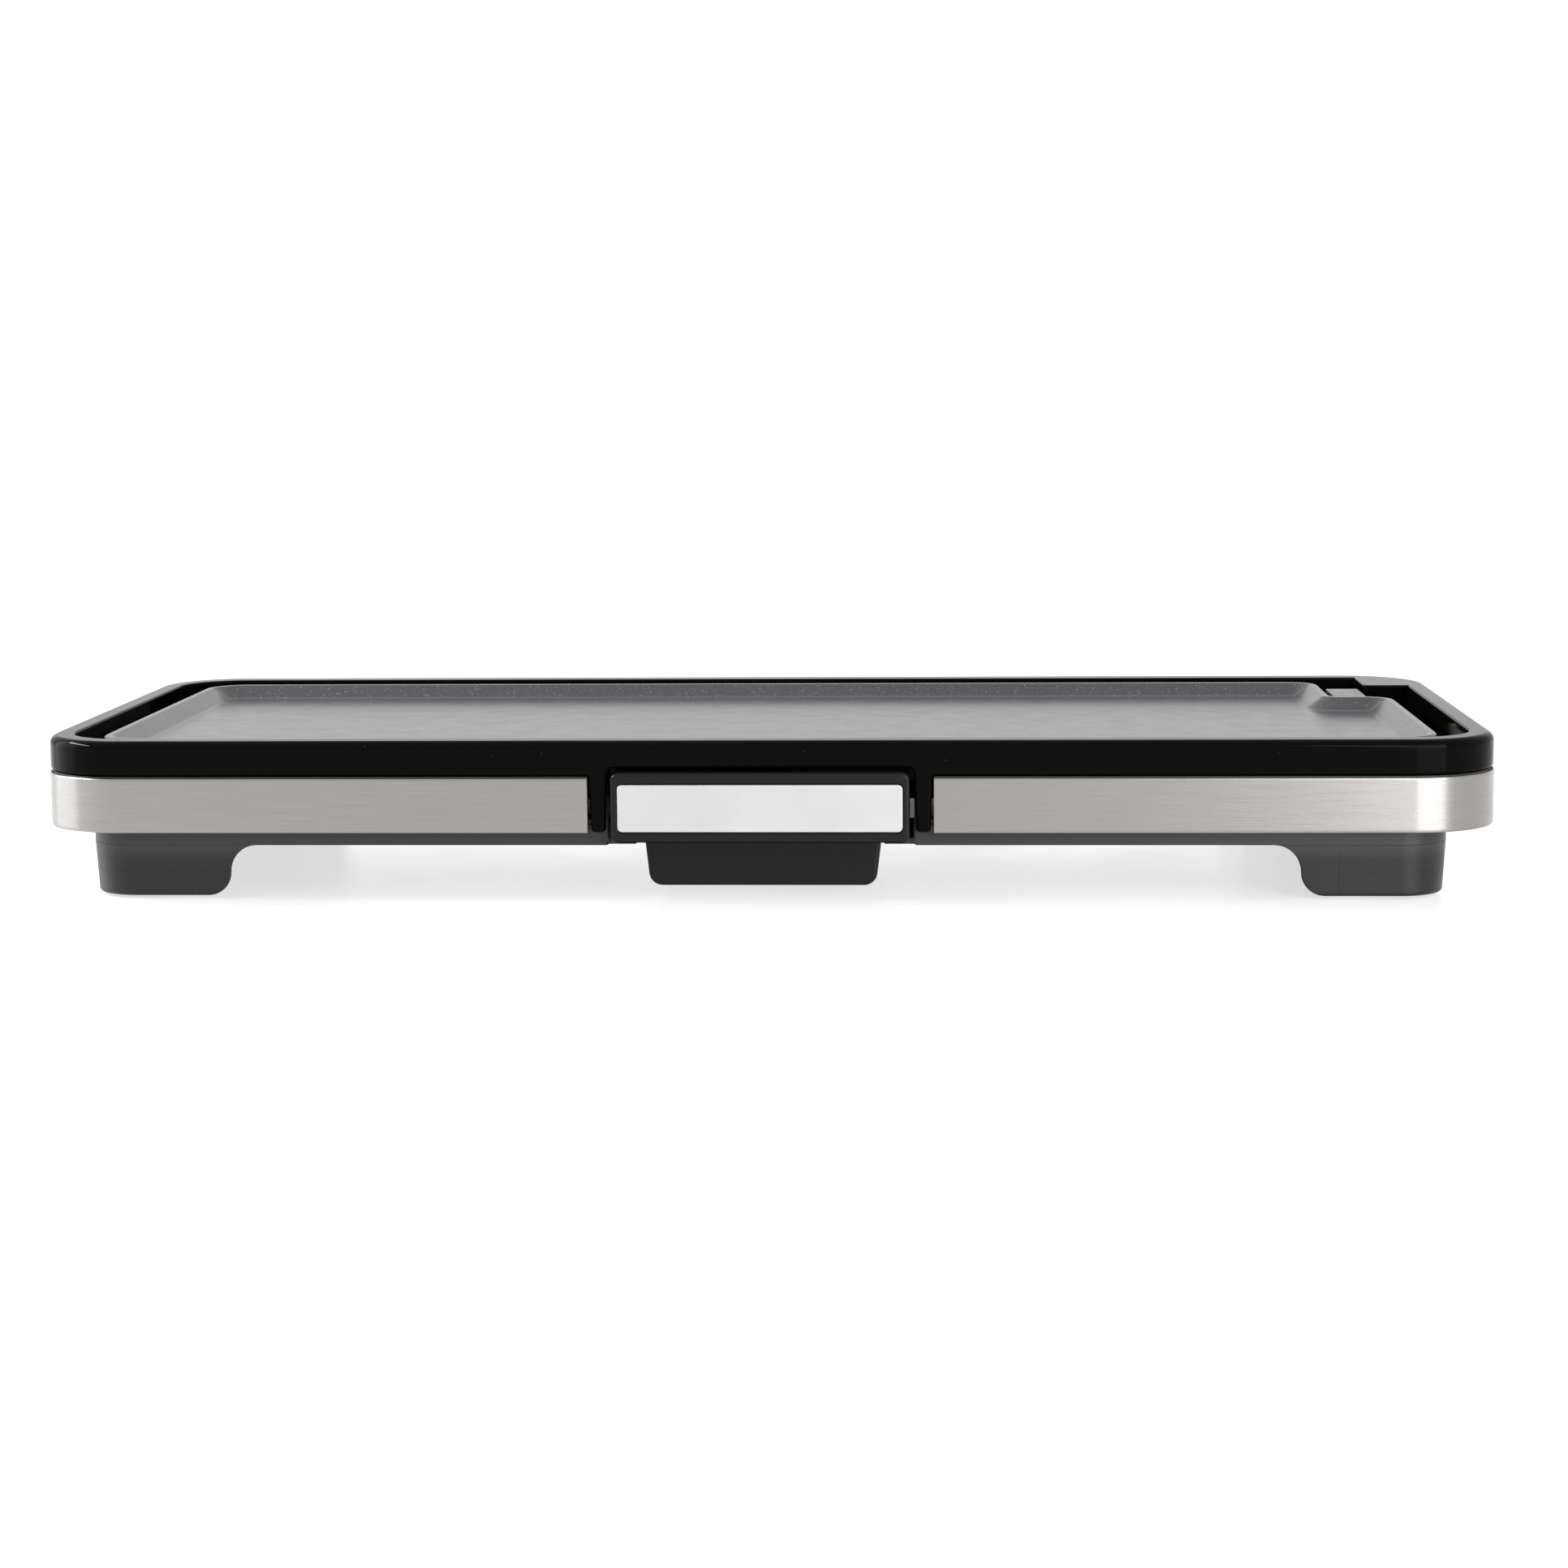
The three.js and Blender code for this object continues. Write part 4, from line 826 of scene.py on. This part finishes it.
def leg_section(z):
    """Outline of the front right leg at a height: toe below, hollow fillet above, slight taper outside.

    The inner side runs back a little towards the outside.
    """
    low, high = LEG_LOW.z, PLINTH_BOTTOM
    inner, rear = LEG_INNER, LEG_REAR
    inner += quarter_round(LEG_TOE, low + LEG_TOE - z)
    rear -= quarter_round(LEG_TOE_REAR, low + LEG_TOE_REAR - z)
    hollow = quarter_round(LEG_FILLET, z - high + LEG_FILLET)
    inner, rear = inner - hollow, rear + hollow
    edge = 1.2
    inset = LEG_TAPER * (high - z) / (high - low) + quarter_round(edge, low + edge - z)
    side, front = PLINTH_HALF_X - inset, PLINTH_FRONT + inset
    centre_x, centre_y = PLINTH_HALF_X - PLINTH_CORNER, PLINTH_FRONT + PLINTH_CORNER
    return [
        *arc(inner + 0.8, front + 0.8, 0.8, 180, 270, 3),
        (SEAM_X - 0.3, front),
        (SEAM_X, front + 0.16),
        (SEAM_X + 0.3, front),
        *arc(centre_x, centre_y, PLINTH_CORNER - inset, 270, 360, 20),
        *arc(side - 1.5, rear - 1.5, 1.5, 0, 90, 4),
        *arc(inner + LEG_RAKE + 3, rear - 3, 3, 90, 166, 5),
    ]


def leg(name, side, end):
    """One hollow-backed leg; the outline is the front right one's, mirrored into its corner."""
    low, high = LEG_LOW.z, PLINTH_BOTTOM
    heights = [low + LEG_TOE * (1 - math.cos(math.radians(9 * i))) for i in range(11)]
    heights += [high - LEG_FILLET + LEG_FILLET * math.sin(math.radians(9 * i)) for i in range(11)]
    loops = []
    for z in heights:
        outline = leg_section(z)
        loops.append([(side * x, y if end < 0 else DEPTH - y, z) for x, y in outline])
    piece = loft(f"moulded_leg_{name}", loops)
    pad_low, pad_high = span(f"rubber_foot_{name}")
    place = upright(f"rubber_foot_{name}")
    radius = (pad_high.x - pad_low.x) / 2
    cut(piece, rod(radius + 0.4, -1, low + 1.7, place, steps=48), rod(3.3, 0, low + 6, place))
    finish(piece, f"leg_{name}")

    tread = [(radius * share, 0.0 if i % 2 else 0.35) for i, share in enumerate((0.72, 0.7, 0.45, 0.43))]
    pad = turned(
        f"rubber_pad_{name}",
        [
            (0, pad_high.z),
            (2.6, pad_high.z),
            (3, pad_high.z - 0.4),
            (3, low + 1.4),
            (radius, low + 1.4),
            *rounding(radius - 0.9, 0.9, 0.9, 0, -90, 5),
            *tread,
            (0, 0.35),
        ],
        place,
        steps=48,
    )
    return finish(pad, f"rubber_foot_{name}")


def plate_rest(name):
    low, high = span(f"plate_rest_{name}")
    place = upright(f"plate_rest_{name}")
    radius, bore, roof = (high.x - low.x) / 2, 6.3, high.z - 3.1
    profile = [
        (0, high.z - 0.3),
        (2.2, high.z),
        *rounding(radius - 1.2, high.z - 1.2, 1.2, 90, 0, 6),
        (radius, low.z + 2.2),
        (radius - 0.5, low.z + 1.8),
        (radius - 0.5, low.z + 0.3),
        (radius - 0.8, low.z),
        (bore, low.z),
        (bore, roof),
        (0, roof),
    ]
    return finish(turned(f"silicone_rest_{name}", profile, place), f"plate_rest_{name}")


# ---- Plate ----


def griddle_plate():
    """Cast plate: raised rounded rim, sloping inner wall, drain slot with its spout below."""
    top = PLATE_HIGH.z
    slope = math.degrees(math.atan2(top - PLATE_FLOOR, PLATE_SLOPE))
    foot = 4.0
    reach = foot * math.tan(math.radians(slope / 2))
    centre_x, centre_z = PLATE_RIM + PLATE_SLOPE + reach, PLATE_FLOOR + foot
    basin = rounding(centre_x, centre_z, foot, 270 - slope, 270, 7)
    crest = 1.4
    lean = rounding(PLATE_RIM - 0.4, top - crest, crest, 90, 90 - slope, 5)
    profile = [
        (PLATE_RIM, PLATE_UNDERSIDE),
        (PLATE_RIM, PLATE_SKIRT + 0.3),
        (PLATE_RIM - 0.3, PLATE_SKIRT),
        (0.3, PLATE_SKIRT),
        (0, PLATE_SKIRT + 0.3),
        *rounding(1, top - 1, 1, 180, 90, 5),
        *lean,
        *basin,
    ]
    piece = loft("cast_griddle_plate", levels(plate_outline, profile))
    slot = rounded_rect(-10, 10, 28, 38, 4.9, 8)
    spout = rounded_rect(-12, 12, 26, 40, 3, 6)
    probe_low, probe_high = span("temperature_probe")
    middle = (probe_low.x + probe_high.x) / 2
    boss = box(middle - 5, middle + 5, probe_low.y, NOTCH_Y - 1.5, probe_high.z + 0.4, PLATE_UNDERSIDE + 1)
    join(piece, prism_z(spout, PLATE_LOW.z, PLATE_UNDERSIDE + 1), boss)
    cut(piece, prism_z(slot, PLATE_LOW.z - 1, TOP))
    round_edges(piece, 0.7, lambda middle: 1.0 if middle.z > PLATE_UNDERSIDE + 1 else 0.4, 3)
    return finish(piece, "griddle_plate")


# ---- Drip drawer ----

TRAY_FRONT, TRAY_REAR = 16, 118
TRAY_WALL = 2
TRAY_TAB_TOP = 31
TRAY_SCREW_X, TRAY_SCREW_Z = 30, 27.8


def tray_screw_holes(near, far):
    places = [(x, 0, TRAY_SCREW_Z) for x in (-TRAY_SCREW_X, TRAY_SCREW_X)]
    return [rod(PILOT_RADIUS, near, far, place, "Y", 20) for place in places]


def tray_profile(inset, top):
    bottom, radius, bottom_half, top_half = span("drip_tray")[0].z, 5.5, 46.4, 48.2
    centre = bottom_half - radius
    return [
        (-top_half + inset, top),
        *arc(-centre, bottom + radius, radius - inset, 185, 270, 8),
        *arc(centre, bottom + radius, radius - inset, 270, 355, 8),
        (top_half - inset, top),
    ]


def soft_edge(edge, steps):
    """Pairs (inset, setback) round an end's edge, from its face to its side."""
    turns = [math.radians(90 * i / steps) for i in range(steps + 1)]
    return [(edge * (1 - math.sin(turn)), edge * (1 - math.cos(turn))) for turn in turns]


def drip_tray():
    """Tub with round lower corners, hung by its side flanges."""
    low, high = span("drip_tray")
    edge = 1.6
    flange_bottom, flange_top = 25, 27
    ends = soft_edge(edge, 6)
    loops = []
    for inset, setback in ends:
        outline = tray_profile(inset, flange_bottom + 0.5)
        loops.append([(x, TRAY_FRONT + setback, z) for x, z in outline])
    for inset, setback in reversed(ends):
        outline = tray_profile(inset, flange_bottom + 0.5)
        loops.append([(x, TRAY_REAR - setback, z) for x, z in outline])
    piece = loft("drip_tray_tub", loops)
    join(piece, box(low.x, high.x, TRAY_FRONT, TRAY_REAR + 1.5, flange_bottom, flange_top))
    inner = tray_profile(TRAY_WALL, TRAY_TAB_TOP)
    cut(piece, prism_y(inner, TRAY_FRONT + TRAY_WALL, TRAY_REAR - TRAY_WALL))
    tab = rounded_rect(-45, 45, flange_bottom - 1, TRAY_TAB_TOP, 1.5, 4)
    join(piece, prism_y(tab, TRAY_FRONT, TRAY_FRONT + TRAY_WALL))
    cut(piece, *tray_screw_holes(TRAY_FRONT - 1, TRAY_FRONT + 3))
    round_edges(piece, 0.3, None, 2)
    return finish(piece, "drip_tray")


def slab(name, low, high, rear, corner, edge, steps):
    """Upright plate with round corners and a soft front edge, from its low corner's Y to the rear."""
    loops = []
    for inset, setback in soft_edge(edge, steps):
        left, right, bottom, top = low.x + inset, high.x - inset, low.z + inset, high.z - inset
        outline = rounded_rect(left, right, bottom, top, corner - inset, 8)
        loops.append([(x, low.y + setback, z) for x, z in outline])
    loops.append([(x, rear, z) for x, z in rounded_rect(low.x, high.x, low.z, high.z, corner, 8)])
    return loft(name, loops)


def tray_front():
    """Satin surround of the drawer with a pocket for the silver panel."""
    low, high = span("tray_front")
    front, rear = low.y, 8
    piece = slab("drawer_surround", low, high, rear, 3, 1.3, 6)
    panel_low, panel_high = span("tray_insert")
    pocket = rounded_rect(
        panel_low.x - 0.3, panel_high.x + 0.3, panel_low.z - 0.3, panel_high.z + 0.3, 2.3, 6
    )
    cut(
        piece,
        box(low.x + 2.7, high.x - 2.7, panel_high.y + 2.7, rear + 1, low.z + 3.2, high.z - 2.7),
        prism_y(pocket, front - 1, panel_high.y + 0.3),
        box(-49.5, 49.5, front - 1, rear + 1, low.z - 1, low.z + 0.7),
    )
    tab = rounded_rect(-49, 49, low.z + 0.7, TRAY_TAB_TOP, 1, 3)
    join(piece, prism_y(tab, rear - 1, TRAY_FRONT - 0.3))
    cut(piece, *tray_screw_holes(rear - 0.5, TRAY_FRONT))
    round_edges(piece, 0.35, None, 3)
    return finish(piece, "tray_front")


def tray_insert():
    """Flat silver panel with a soft edge."""
    low, high = span("tray_insert")
    return finish(slab("drawer_silver_panel", low, high, high.y, 2, 0.4, 4), "tray_insert")


# ---- Heating element and terminals ----

ELEMENT_HIGH = span("heating_element")[1]
ELEMENT_RADIUS = 3.3
ELEMENT_RUNS = (50, 93, 136, 180)


def sweep(name, path, radius, sides=20):
    """Round tube along a list of points."""
    side = Vector((0, 0, 1))
    loops = []
    for i, point in enumerate(path):
        ahead = path[min(i + 1, len(path) - 1)] - path[max(i - 1, 0)]
        ahead.normalize()
        side = (side - side.dot(ahead) * ahead).normalized()
        other = ahead.cross(side)
        loop = []
        for k in range(sides):
            turn = math.tau * k / sides
            loop.append(point + radius * (math.cos(turn) * side + math.sin(turn) * other))
        loops.append(loop)
    return loft(name, loops)


def element_path():
    """From the right-hand pin down the plate's right side, through four runs, to the left-hand pin."""
    height, inlet, outlet, low = 49.6, 255, 229, 40
    left, right, corner = -226, 205, 12
    end = ELEMENT_HIGH.y
    for name in ("left", "right"):
        end = min(end, span(f"terminal_pin_{name}")[0].y - 0.3)

    def flat(x, y, radius, start, stop, z, steps=10):
        return [Vector((px, py, z)) for px, py in arc(x, y, radius, start, stop, steps)]

    def ramp(first, last, steps=10):
        eased = [0.5 - 0.5 * math.cos(math.pi * i / steps) for i in range(1, steps)]
        points = []
        for i, share in enumerate(eased, 1):
            point = first.lerp(last, i / steps)
            point.z = first.z + (last.z - first.z) * share
            points.append(point)
        return points

    start, climb = Vector((inlet, end - 17, low)), Vector((inlet, end - 47, height))
    path = [Vector((inlet, end, low)), start, *ramp(start, climb), climb]
    path += flat(inlet - corner, ELEMENT_RUNS[0] + corner, corner, 0, -90, height)
    for run in range(3):
        radius = (ELEMENT_RUNS[run + 1] - ELEMENT_RUNS[run]) / 2
        middle = ELEMENT_RUNS[run] + radius
        at_left = run % 2 == 0
        turn = (270, 90) if at_left else (-90, 90)
        path += flat(left if at_left else right, middle, radius, *turn, height, 24)
    dive, level = Vector((outlet - 45, ELEMENT_RUNS[3], height)), Vector((outlet - 15, ELEMENT_RUNS[3], low))
    path += [dive, *ramp(dive, level), level]
    path += flat(outlet - corner, ELEMENT_RUNS[3] + corner, corner, -90, 0, low)
    return [*path, Vector((outlet, end, low))]


def heating_element():
    return finish(sweep("tubular_heating_element", element_path(), ELEMENT_RADIUS), "heating_element")


def terminals():
    """Blade pins with a flange, and the sleeves that take them in the controller."""
    for name in ("left", "right"):
        middle, low, high = centred(f"terminal_pin_{name}")
        radius = (high.x - low.x) / 2
        profile = [
            (0, high.y),
            *rounding(0.6, high.y - 1.9, 1.9, 90, 0, 5),
            (radius, low.y + 3),
            (radius - 0.35, low.y + 2.6),
            (radius - 0.35, low.y + 1.6),
            (radius, low.y + 1.2),
            (radius, low.y),
            (0, low.y),
        ]
        pin = turned(f"brass_pin_{name}", profile, (middle.x, 0, middle.z), "Y", 32)
        finish(pin, f"terminal_pin_{name}")
        middle, low, high = centred(f"contact_{name}")
        radius, bore = (high.x - low.x) / 2, 2.8
        ring = [
            (bore, low.y + 0.5),
            (bore + 0.4, low.y),
            (radius - 0.2, low.y),
            (radius, low.y + 0.2),
            (radius, high.y - 0.2),
            (radius - 0.2, high.y),
            (bore, high.y),
        ]
        sleeve = turned(f"contact_sleeve_{name}", ring, (middle.x, 0, middle.z), "Y", 32)
        slit = box(middle.x - 0.3, middle.x + 0.3, low.y - 1, high.y - 8, middle.z, high.z + 1)
        finish(cut(sleeve, slit), f"contact_{name}")


# ---- Screws ----


def screw(node, axis, head_last, head_height, shank_radius):
    """Pan-head screw with a cross recess and ridged shank, fitted to its node's box."""
    middle, low, high = centred(node)
    along = "XYZ".index(axis)
    length = high[along] - low[along] - head_height
    radius = (high[0] - low[0]) / 2
    pitch = 0.9
    ridges = []
    for i in range(int((length - 2) / pitch)):
        depth = -1.2 - i * pitch
        ridges += [(shank_radius, depth), (shank_radius - 0.25, depth - pitch / 2)]
    dome = []
    for i in range(6):
        turn = math.radians(90 - 18 * i)
        x = radius * (0.5 + 0.5 * math.cos(turn))
        dome.append((x, head_height * (0.25 + 0.75 * math.sin(turn))))
    profile = [
        (0, head_height),
        *dome,
        (radius, 0),
        (shank_radius, 0),
        *ridges,
        (shank_radius - 0.3, 0.8 - length),
        (0, -length),
    ]
    piece = turned(f"{node}_detail", profile, steps=24)
    arm, slot = radius * 0.55, radius * 0.13
    depth = head_height * 0.45
    cut(
        piece,
        box(-arm, arm, -slot, slot, depth, head_height + 1),
        box(-slot, slot, -arm, arm, depth, head_height + 1),
    )
    turn = AXES[axis] if head_last else AXES[axis] @ Matrix.Rotation(math.pi, 4, "X")
    seat = high[along] - head_height if head_last else low[along] + head_height
    place = middle.copy()
    place[along] = seat
    piece.data.transform(Matrix.Translation(place) @ turn)
    edit(piece, clean)
    return finish(piece, node)


def screws():
    for name, _, _ in CORNERS:
        screw(f"frame_screw_{name}", "Z", False, 1.3, 1.3)
        screw(f"shield_screw_{name}", "Z", True, 1.8, 1.2)
    screw("latch_screw", "Z", True, 1.5, 1.3)
    for name in ("left", "right"):
        screw(f"controller_screw_{name}", "Z", False, 1.5, 1.2)
        screw(f"tray_screw_{name}", "Y", True, 1.4, 1.2)


# ---- Controller ----

CASE_LOW, CASE_HIGH = span("controller_lower")
CASE_FRONT = 257
CASE_REAR = CASE_HIGH.y
CASE_TOP = 50
CASE_SPLIT = 40
CASE_SKIN = 3
CASE_CORNER = 14
CASE_FILLET = 3
NOSE_BOTTOM, NOSE_TOP = 31.5, 47.5
NOSE_HALF_X = 19.5
PIN_WAY, PROBE_WAY, GLAND_SEAT = 4, 3.3, 6.3
DIAL_MIDDLE = centred("control_dial")[0]
LAMP_MIDDLE = centred("pilot_lamp_lens")[0]
PIN_Z = centred("terminal_pin_left")[0].z


def case_outline(inset):
    left, right = CASE_LOW.x + inset, CASE_HIGH.x - inset
    return rounded_rect(left, right, CASE_FRONT + inset, CASE_REAR - inset, CASE_CORNER - inset, 14)


def controller_half(name, low, high):
    """One half of the controller's case between two heights, open towards the other half."""
    bottom, top, fillet = CASE_LOW.z, CASE_TOP, CASE_FILLET
    profile = [
        *rounding(fillet, bottom + fillet, fillet, 270, 180, 8),
        *rounding(fillet, top - fillet, fillet, 180, 90, 8),
    ]
    piece = loft(name, levels(case_outline, profile))
    cut(piece, prism_z(case_outline(CASE_SKIN), bottom + CASE_SKIN, top - CASE_SKIN))
    middle = DIAL_MIDDLE.x
    nose_low = span("controller_lower")[0].y
    nose = rounded_rect(middle - NOSE_HALF_X, middle + NOSE_HALF_X, NOSE_BOTTOM, NOSE_TOP, 1.6, 5)
    screw_xs = [centred(f"controller_screw_{side}")[0].x for side in ("left", "right")]
    screw_y = centred("controller_screw_left")[0].y
    bosses = [rod(4, bottom + 1, top - 1, (x, screw_y, 0)) for x in screw_xs]
    join(piece, prism_y(nose, nose_low, CASE_FRONT + 1), *bosses)
    ways = []
    for side in ("left", "right"):
        pin = centred(f"terminal_pin_{side}")[0]
        ways.append(rod(PIN_WAY, nose_low - 1, CASE_FRONT + 4, (pin.x, 0, pin.z), "Y"))
    ways.append(rod(PROBE_WAY, nose_low - 1, CASE_FRONT + 4, (middle, 0, PIN_Z), "Y"))
    ways.append(rod(GLAND_SEAT, CASE_REAR - 6, CASE_REAR + 1, (middle, 0, CASE_SPLIT), "Y", 40))
    cut(piece, *ways)
    wide = (CASE_LOW.x - 1, CASE_HIGH.x + 1, nose_low - 1, CASE_REAR + 1)
    common(piece, box(*wide, low, high))
    return piece, screw_xs, screw_y


def controller_lower():
    low, high = span("controller_lower")
    piece, screw_xs, screw_y = controller_half("controller_case_lower", low.z - 1, high.z)
    middle = DIAL_MIDDLE.x
    seat = span("thermostat_switch")[0].z - 0.3
    y = DIAL_MIDDLE.y
    join(piece, box(middle - 10, middle + 10, y - 11, y + 9, low.z + 2, seat))
    holes = []
    for x in screw_xs:
        holes.append(rod(3, low.z - 1, low.z + CASE_SKIN, (x, screw_y, 0)))
        holes.append(rod(PILOT_RADIUS, low.z, CASE_SPLIT + 1, (x, screw_y, 0), steps=20))
    cut(piece, *holes)
    round_edges(piece, 0.3, None, 2)
    return finish(piece, "controller_lower")


def controller_upper():
    low, high = span("controller_upper")
    piece, screw_xs, screw_y = controller_half("controller_case_upper", low.z, high.z + 1)
    roof = high.z - CASE_SKIN
    holes = [rod(PILOT_RADIUS, low.z - 1, roof, (x, screw_y, 0), steps=20) for x in screw_xs]
    holes.append(rod(3.2, high.z - 5, high.z + 1, (DIAL_MIDDLE.x, DIAL_MIDDLE.y, 0)))
    holes.append(rod(3.3, high.z - 5, high.z + 1, (LAMP_MIDDLE.x, LAMP_MIDDLE.y, 0)))
    cut(piece, *holes)
    round_edges(piece, 0.3, None, 2)
    return finish(piece, "controller_upper")


def control_dial():
    """Round knob with a gripped edge, a raised pointer and plain scale marks."""
    middle, low, high = centred("control_dial")
    radius, top = (high.x - low.x) / 2, 54.6
    bore, bore_top = 3.1, 53.2
    steps, flutes = 240, 40
    mark_count, scale = 10, 300
    profile = [
        (0, top - 0.5),
        (radius - 5.4, top - 0.5),
        (radius - 4.9, top - 0.1),
        (radius - 4.5, top),
        *rounding(radius - 1.3, top - 1.3, 1.3, 90, 0, 6),
        (radius, low.z + 0.5),
        (radius - 0.5, low.z),
        (radius - 1.8, low.z),
        (radius - 1.8, top - 2),
        (5, top - 2),
        (5, low.z),
        (bore, low.z),
        (bore, bore_top),
        (0, bore_top),
    ]
    loops = []
    for i in range(steps):
        turn = math.tau * i / steps
        grip = 0.22 * (1 + math.cos(flutes * turn))
        loop = []
        for r, h in profile:
            reach = r - grip if r > radius - 1.5 else r
            loop.append((reach * math.cos(turn), reach * math.sin(turn), h))
        loops.append(loop)
    piece = loft("temperature_dial", loops, ring=True)
    marks = [prism_z(rounded_rect(-1.3, 1.3, -20, -6, 1.2, 5), top - 1, high.z)]
    for i in range(mark_count):
        mark = prism_z(rounded_rect(-0.35, 0.35, 13.2, 16.4, 0.3, 3), top - 1, top + 0.1)
        turn = math.radians(scale / 2 - scale * i / (mark_count - 1))
        mark.data.transform(Matrix.Rotation(turn, 4, "Z"))
        marks.append(mark)
    join(piece, *marks)
    piece.data.transform(Matrix.Translation((middle.x, middle.y, 0)))
    return finish(piece, "control_dial")


def pilot_lamp():
    middle, low, high = centred("pilot_lamp_lens")
    radius = (high.x - low.x) / 2
    dome = []
    for i in range(8):
        turn = math.radians(90 - 12 * i)
        dome.append((radius * math.cos(turn), CASE_TOP + (high.z - CASE_TOP) * math.sin(turn)))
    profile = [*dome, (radius, CASE_TOP - 2.6), (2.4, low.z), (0, low.z)]
    return finish(turned("red_pilot_lens", profile, (middle.x, middle.y, 0)), "pilot_lamp_lens")


def cord_gland():
    """Ribbed bush in the rear wall; its bore is the way out for the cord."""
    middle, low, high = centred("cord_gland")
    bore, neck, collar = 4, 6, (high.x - low.x) / 2
    wall = CASE_REAR - CASE_SKIN
    ribs = []
    for i in range(3):
        y = CASE_REAR + 0.8 + i * 1.2
        reach = collar - 0.6 * i
        ribs += [(reach, y), (reach, y + 0.6), (reach - 0.7, y + 0.8), (reach - 0.7, y + 1.1)]
    ring = [
        (bore, low.y),
        (neck + 0.9, low.y),
        (neck + 0.9, wall - 0.3),
        (neck, wall - 0.3),
        (neck, CASE_REAR + 0.3),
        (collar - 0.4, CASE_REAR + 0.3),
        *ribs,
        (bore + 0.7, high.y),
        (bore, high.y - 0.7),
    ]
    return finish(turned("cord_bush", ring, (middle.x, 0, middle.z), "Y", 48), "cord_gland")


def probe():
    """Steel feeler with a round nose and a rolled groove."""
    middle, low, high = centred("temperature_probe")
    radius = (high.x - low.x) / 2
    profile = [
        (0, high.y),
        (radius - 0.3, high.y),
        (radius, high.y - 0.3),
        (radius, low.y + 26),
        (radius - 0.3, low.y + 25.6),
        (radius - 0.3, low.y + 24.8),
        (radius, low.y + 24.4),
        *rounding(0, low.y + radius, radius, 0, -90, 8),
    ]
    piece = turned("steel_temperature_probe", profile, (middle.x, 0, middle.z), "Y", 40)
    return finish(piece, "temperature_probe")


def spindle():
    middle, low, high = centred("dial_spindle")
    radius = (high.x - low.x) / 2
    profile = [(0, high.z), (radius - 0.4, high.z), (radius, high.z - 0.4), (radius, low.z), (0, low.z)]
    piece = turned("dial_shaft", profile, (middle.x, middle.y, 0), steps=32)
    flat = box(middle.x - 5, middle.x + 5, middle.y + radius - 0.8, middle.y + 5, high.z - 4, high.z + 1)
    return finish(cut(piece, flat), "dial_spindle")


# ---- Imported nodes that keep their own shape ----


def dress_packed_nodes():
    """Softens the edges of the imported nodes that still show, and gives them their material."""
    for name, node in NODES.items():
        if node.hide_render:
            continue
        node.data.materials.clear()
        node.data.materials.append(MATERIALS[SLOT_OF[name]])
        node.data.shade_smooth()
        weld = node.modifiers.new("weld", "WELD")
        weld.merge_threshold = 1e-6
        soften = node.modifiers.new("soften", "BEVEL")
        soften.width = 0.00018
        soften.segments = 2
        soften.limit_method = "ANGLE"
        soften.angle_limit = math.radians(40)
        add_flat_normals(node)


# ---- Stage, light and camera ----


def stage():
    """Pale table top that glows a little, so that the space under the body stays light."""
    bpy.ops.mesh.primitive_plane_add(size=12, location=(0, 0, 0))
    floor = bpy.context.object
    floor.name = "stage_floor"
    surface = Surface("stage_white", (0.3, 0.3, 0.3), 0.22, Specular_IOR_Level=0.35)
    surface.shader.inputs["Emission Color"].default_value = (1, 1, 1, 1)
    surface.shader.inputs["Emission Strength"].default_value = 0.66
    surface.polish(60, 0.05)
    floor.data.materials.append(surface.material)


def area_light(name, place, target, size, power, color=(1, 1, 1)):
    light = bpy.data.lights.new(name, "AREA")
    light.shape = "RECTANGLE"
    light.size, light.size_y = size
    light.energy = power
    light.color = color
    lamp = bpy.data.objects.new(name, light)
    lamp.location = place
    lamp.rotation_mode = "QUATERNION"
    lamp.rotation_quaternion = (Vector(target) - Vector(place)).to_track_quat("-Z", "Y")
    bpy.context.scene.collection.objects.link(lamp)


def lights():
    """Even white surroundings, and softboxes whose reflections bend round the band's corners."""
    world = bpy.data.worlds.new("white_studio")
    bpy.context.scene.world = world
    world.use_nodes = True
    sky = world.node_tree.nodes["Background"]
    sky.inputs["Color"].default_value = (1, 1, 1, 1)
    sky.inputs["Strength"].default_value = 1.0
    area_light("softbox_right", (0.735, -1.02, 0.4), (0.28, -0.15, 0.05), (0.78, 0.8), 11.5)
    area_light("softbox_left", (-1.37, 0.04, 0.4), (-0.28, -0.1, 0.05), (1.0, 0.8), 7, (0.93, 0.97, 1))
    area_light("strip_left", (-1.2, -0.12, 0.85), (-0.28, -0.1, 0.06), (0.9, 0.1), 26)


def camera():
    """The photographer's place: low in front, a little right of the middle, looking slightly left."""
    lens = bpy.data.cameras.new("camera")
    lens.sensor_width = 36
    lens.lens = 72.85
    lens.clip_end = 50
    eye = bpy.data.objects.new("camera", lens)
    eye.location = (0.0739, FRONT / 1000 - 1.2507, 0.2183)
    heading = Vector((-0.0514, 1, -0.1365))
    roll = Matrix.Rotation(math.radians(-0.45), 3, "Z").to_quaternion()
    eye.rotation_mode = "QUATERNION"
    eye.rotation_quaternion = heading.to_track_quat("-Z", "Y") @ roll
    bpy.context.scene.collection.objects.link(eye)
    bpy.context.scene.camera = eye
    bpy.context.scene.view_settings.view_transform = "Standard"


# ---- Assembly ----

camera()
stage()
lights()
top_frame()
steel_band(-1, "brushed_band_left", "steel_band_left")
steel_band(1, "brushed_band_right", "steel_band_right")
base_housing()
for corner, side, end in CORNERS:
    leg(corner, side, end)
    plate_rest(corner)
griddle_plate()
drip_tray()
tray_front()
tray_insert()
heating_element()
terminals()
screws()
controller_lower()
controller_upper()
control_dial()
pilot_lamp()
cord_gland()
probe()
spindle()
dress_packed_nodes()
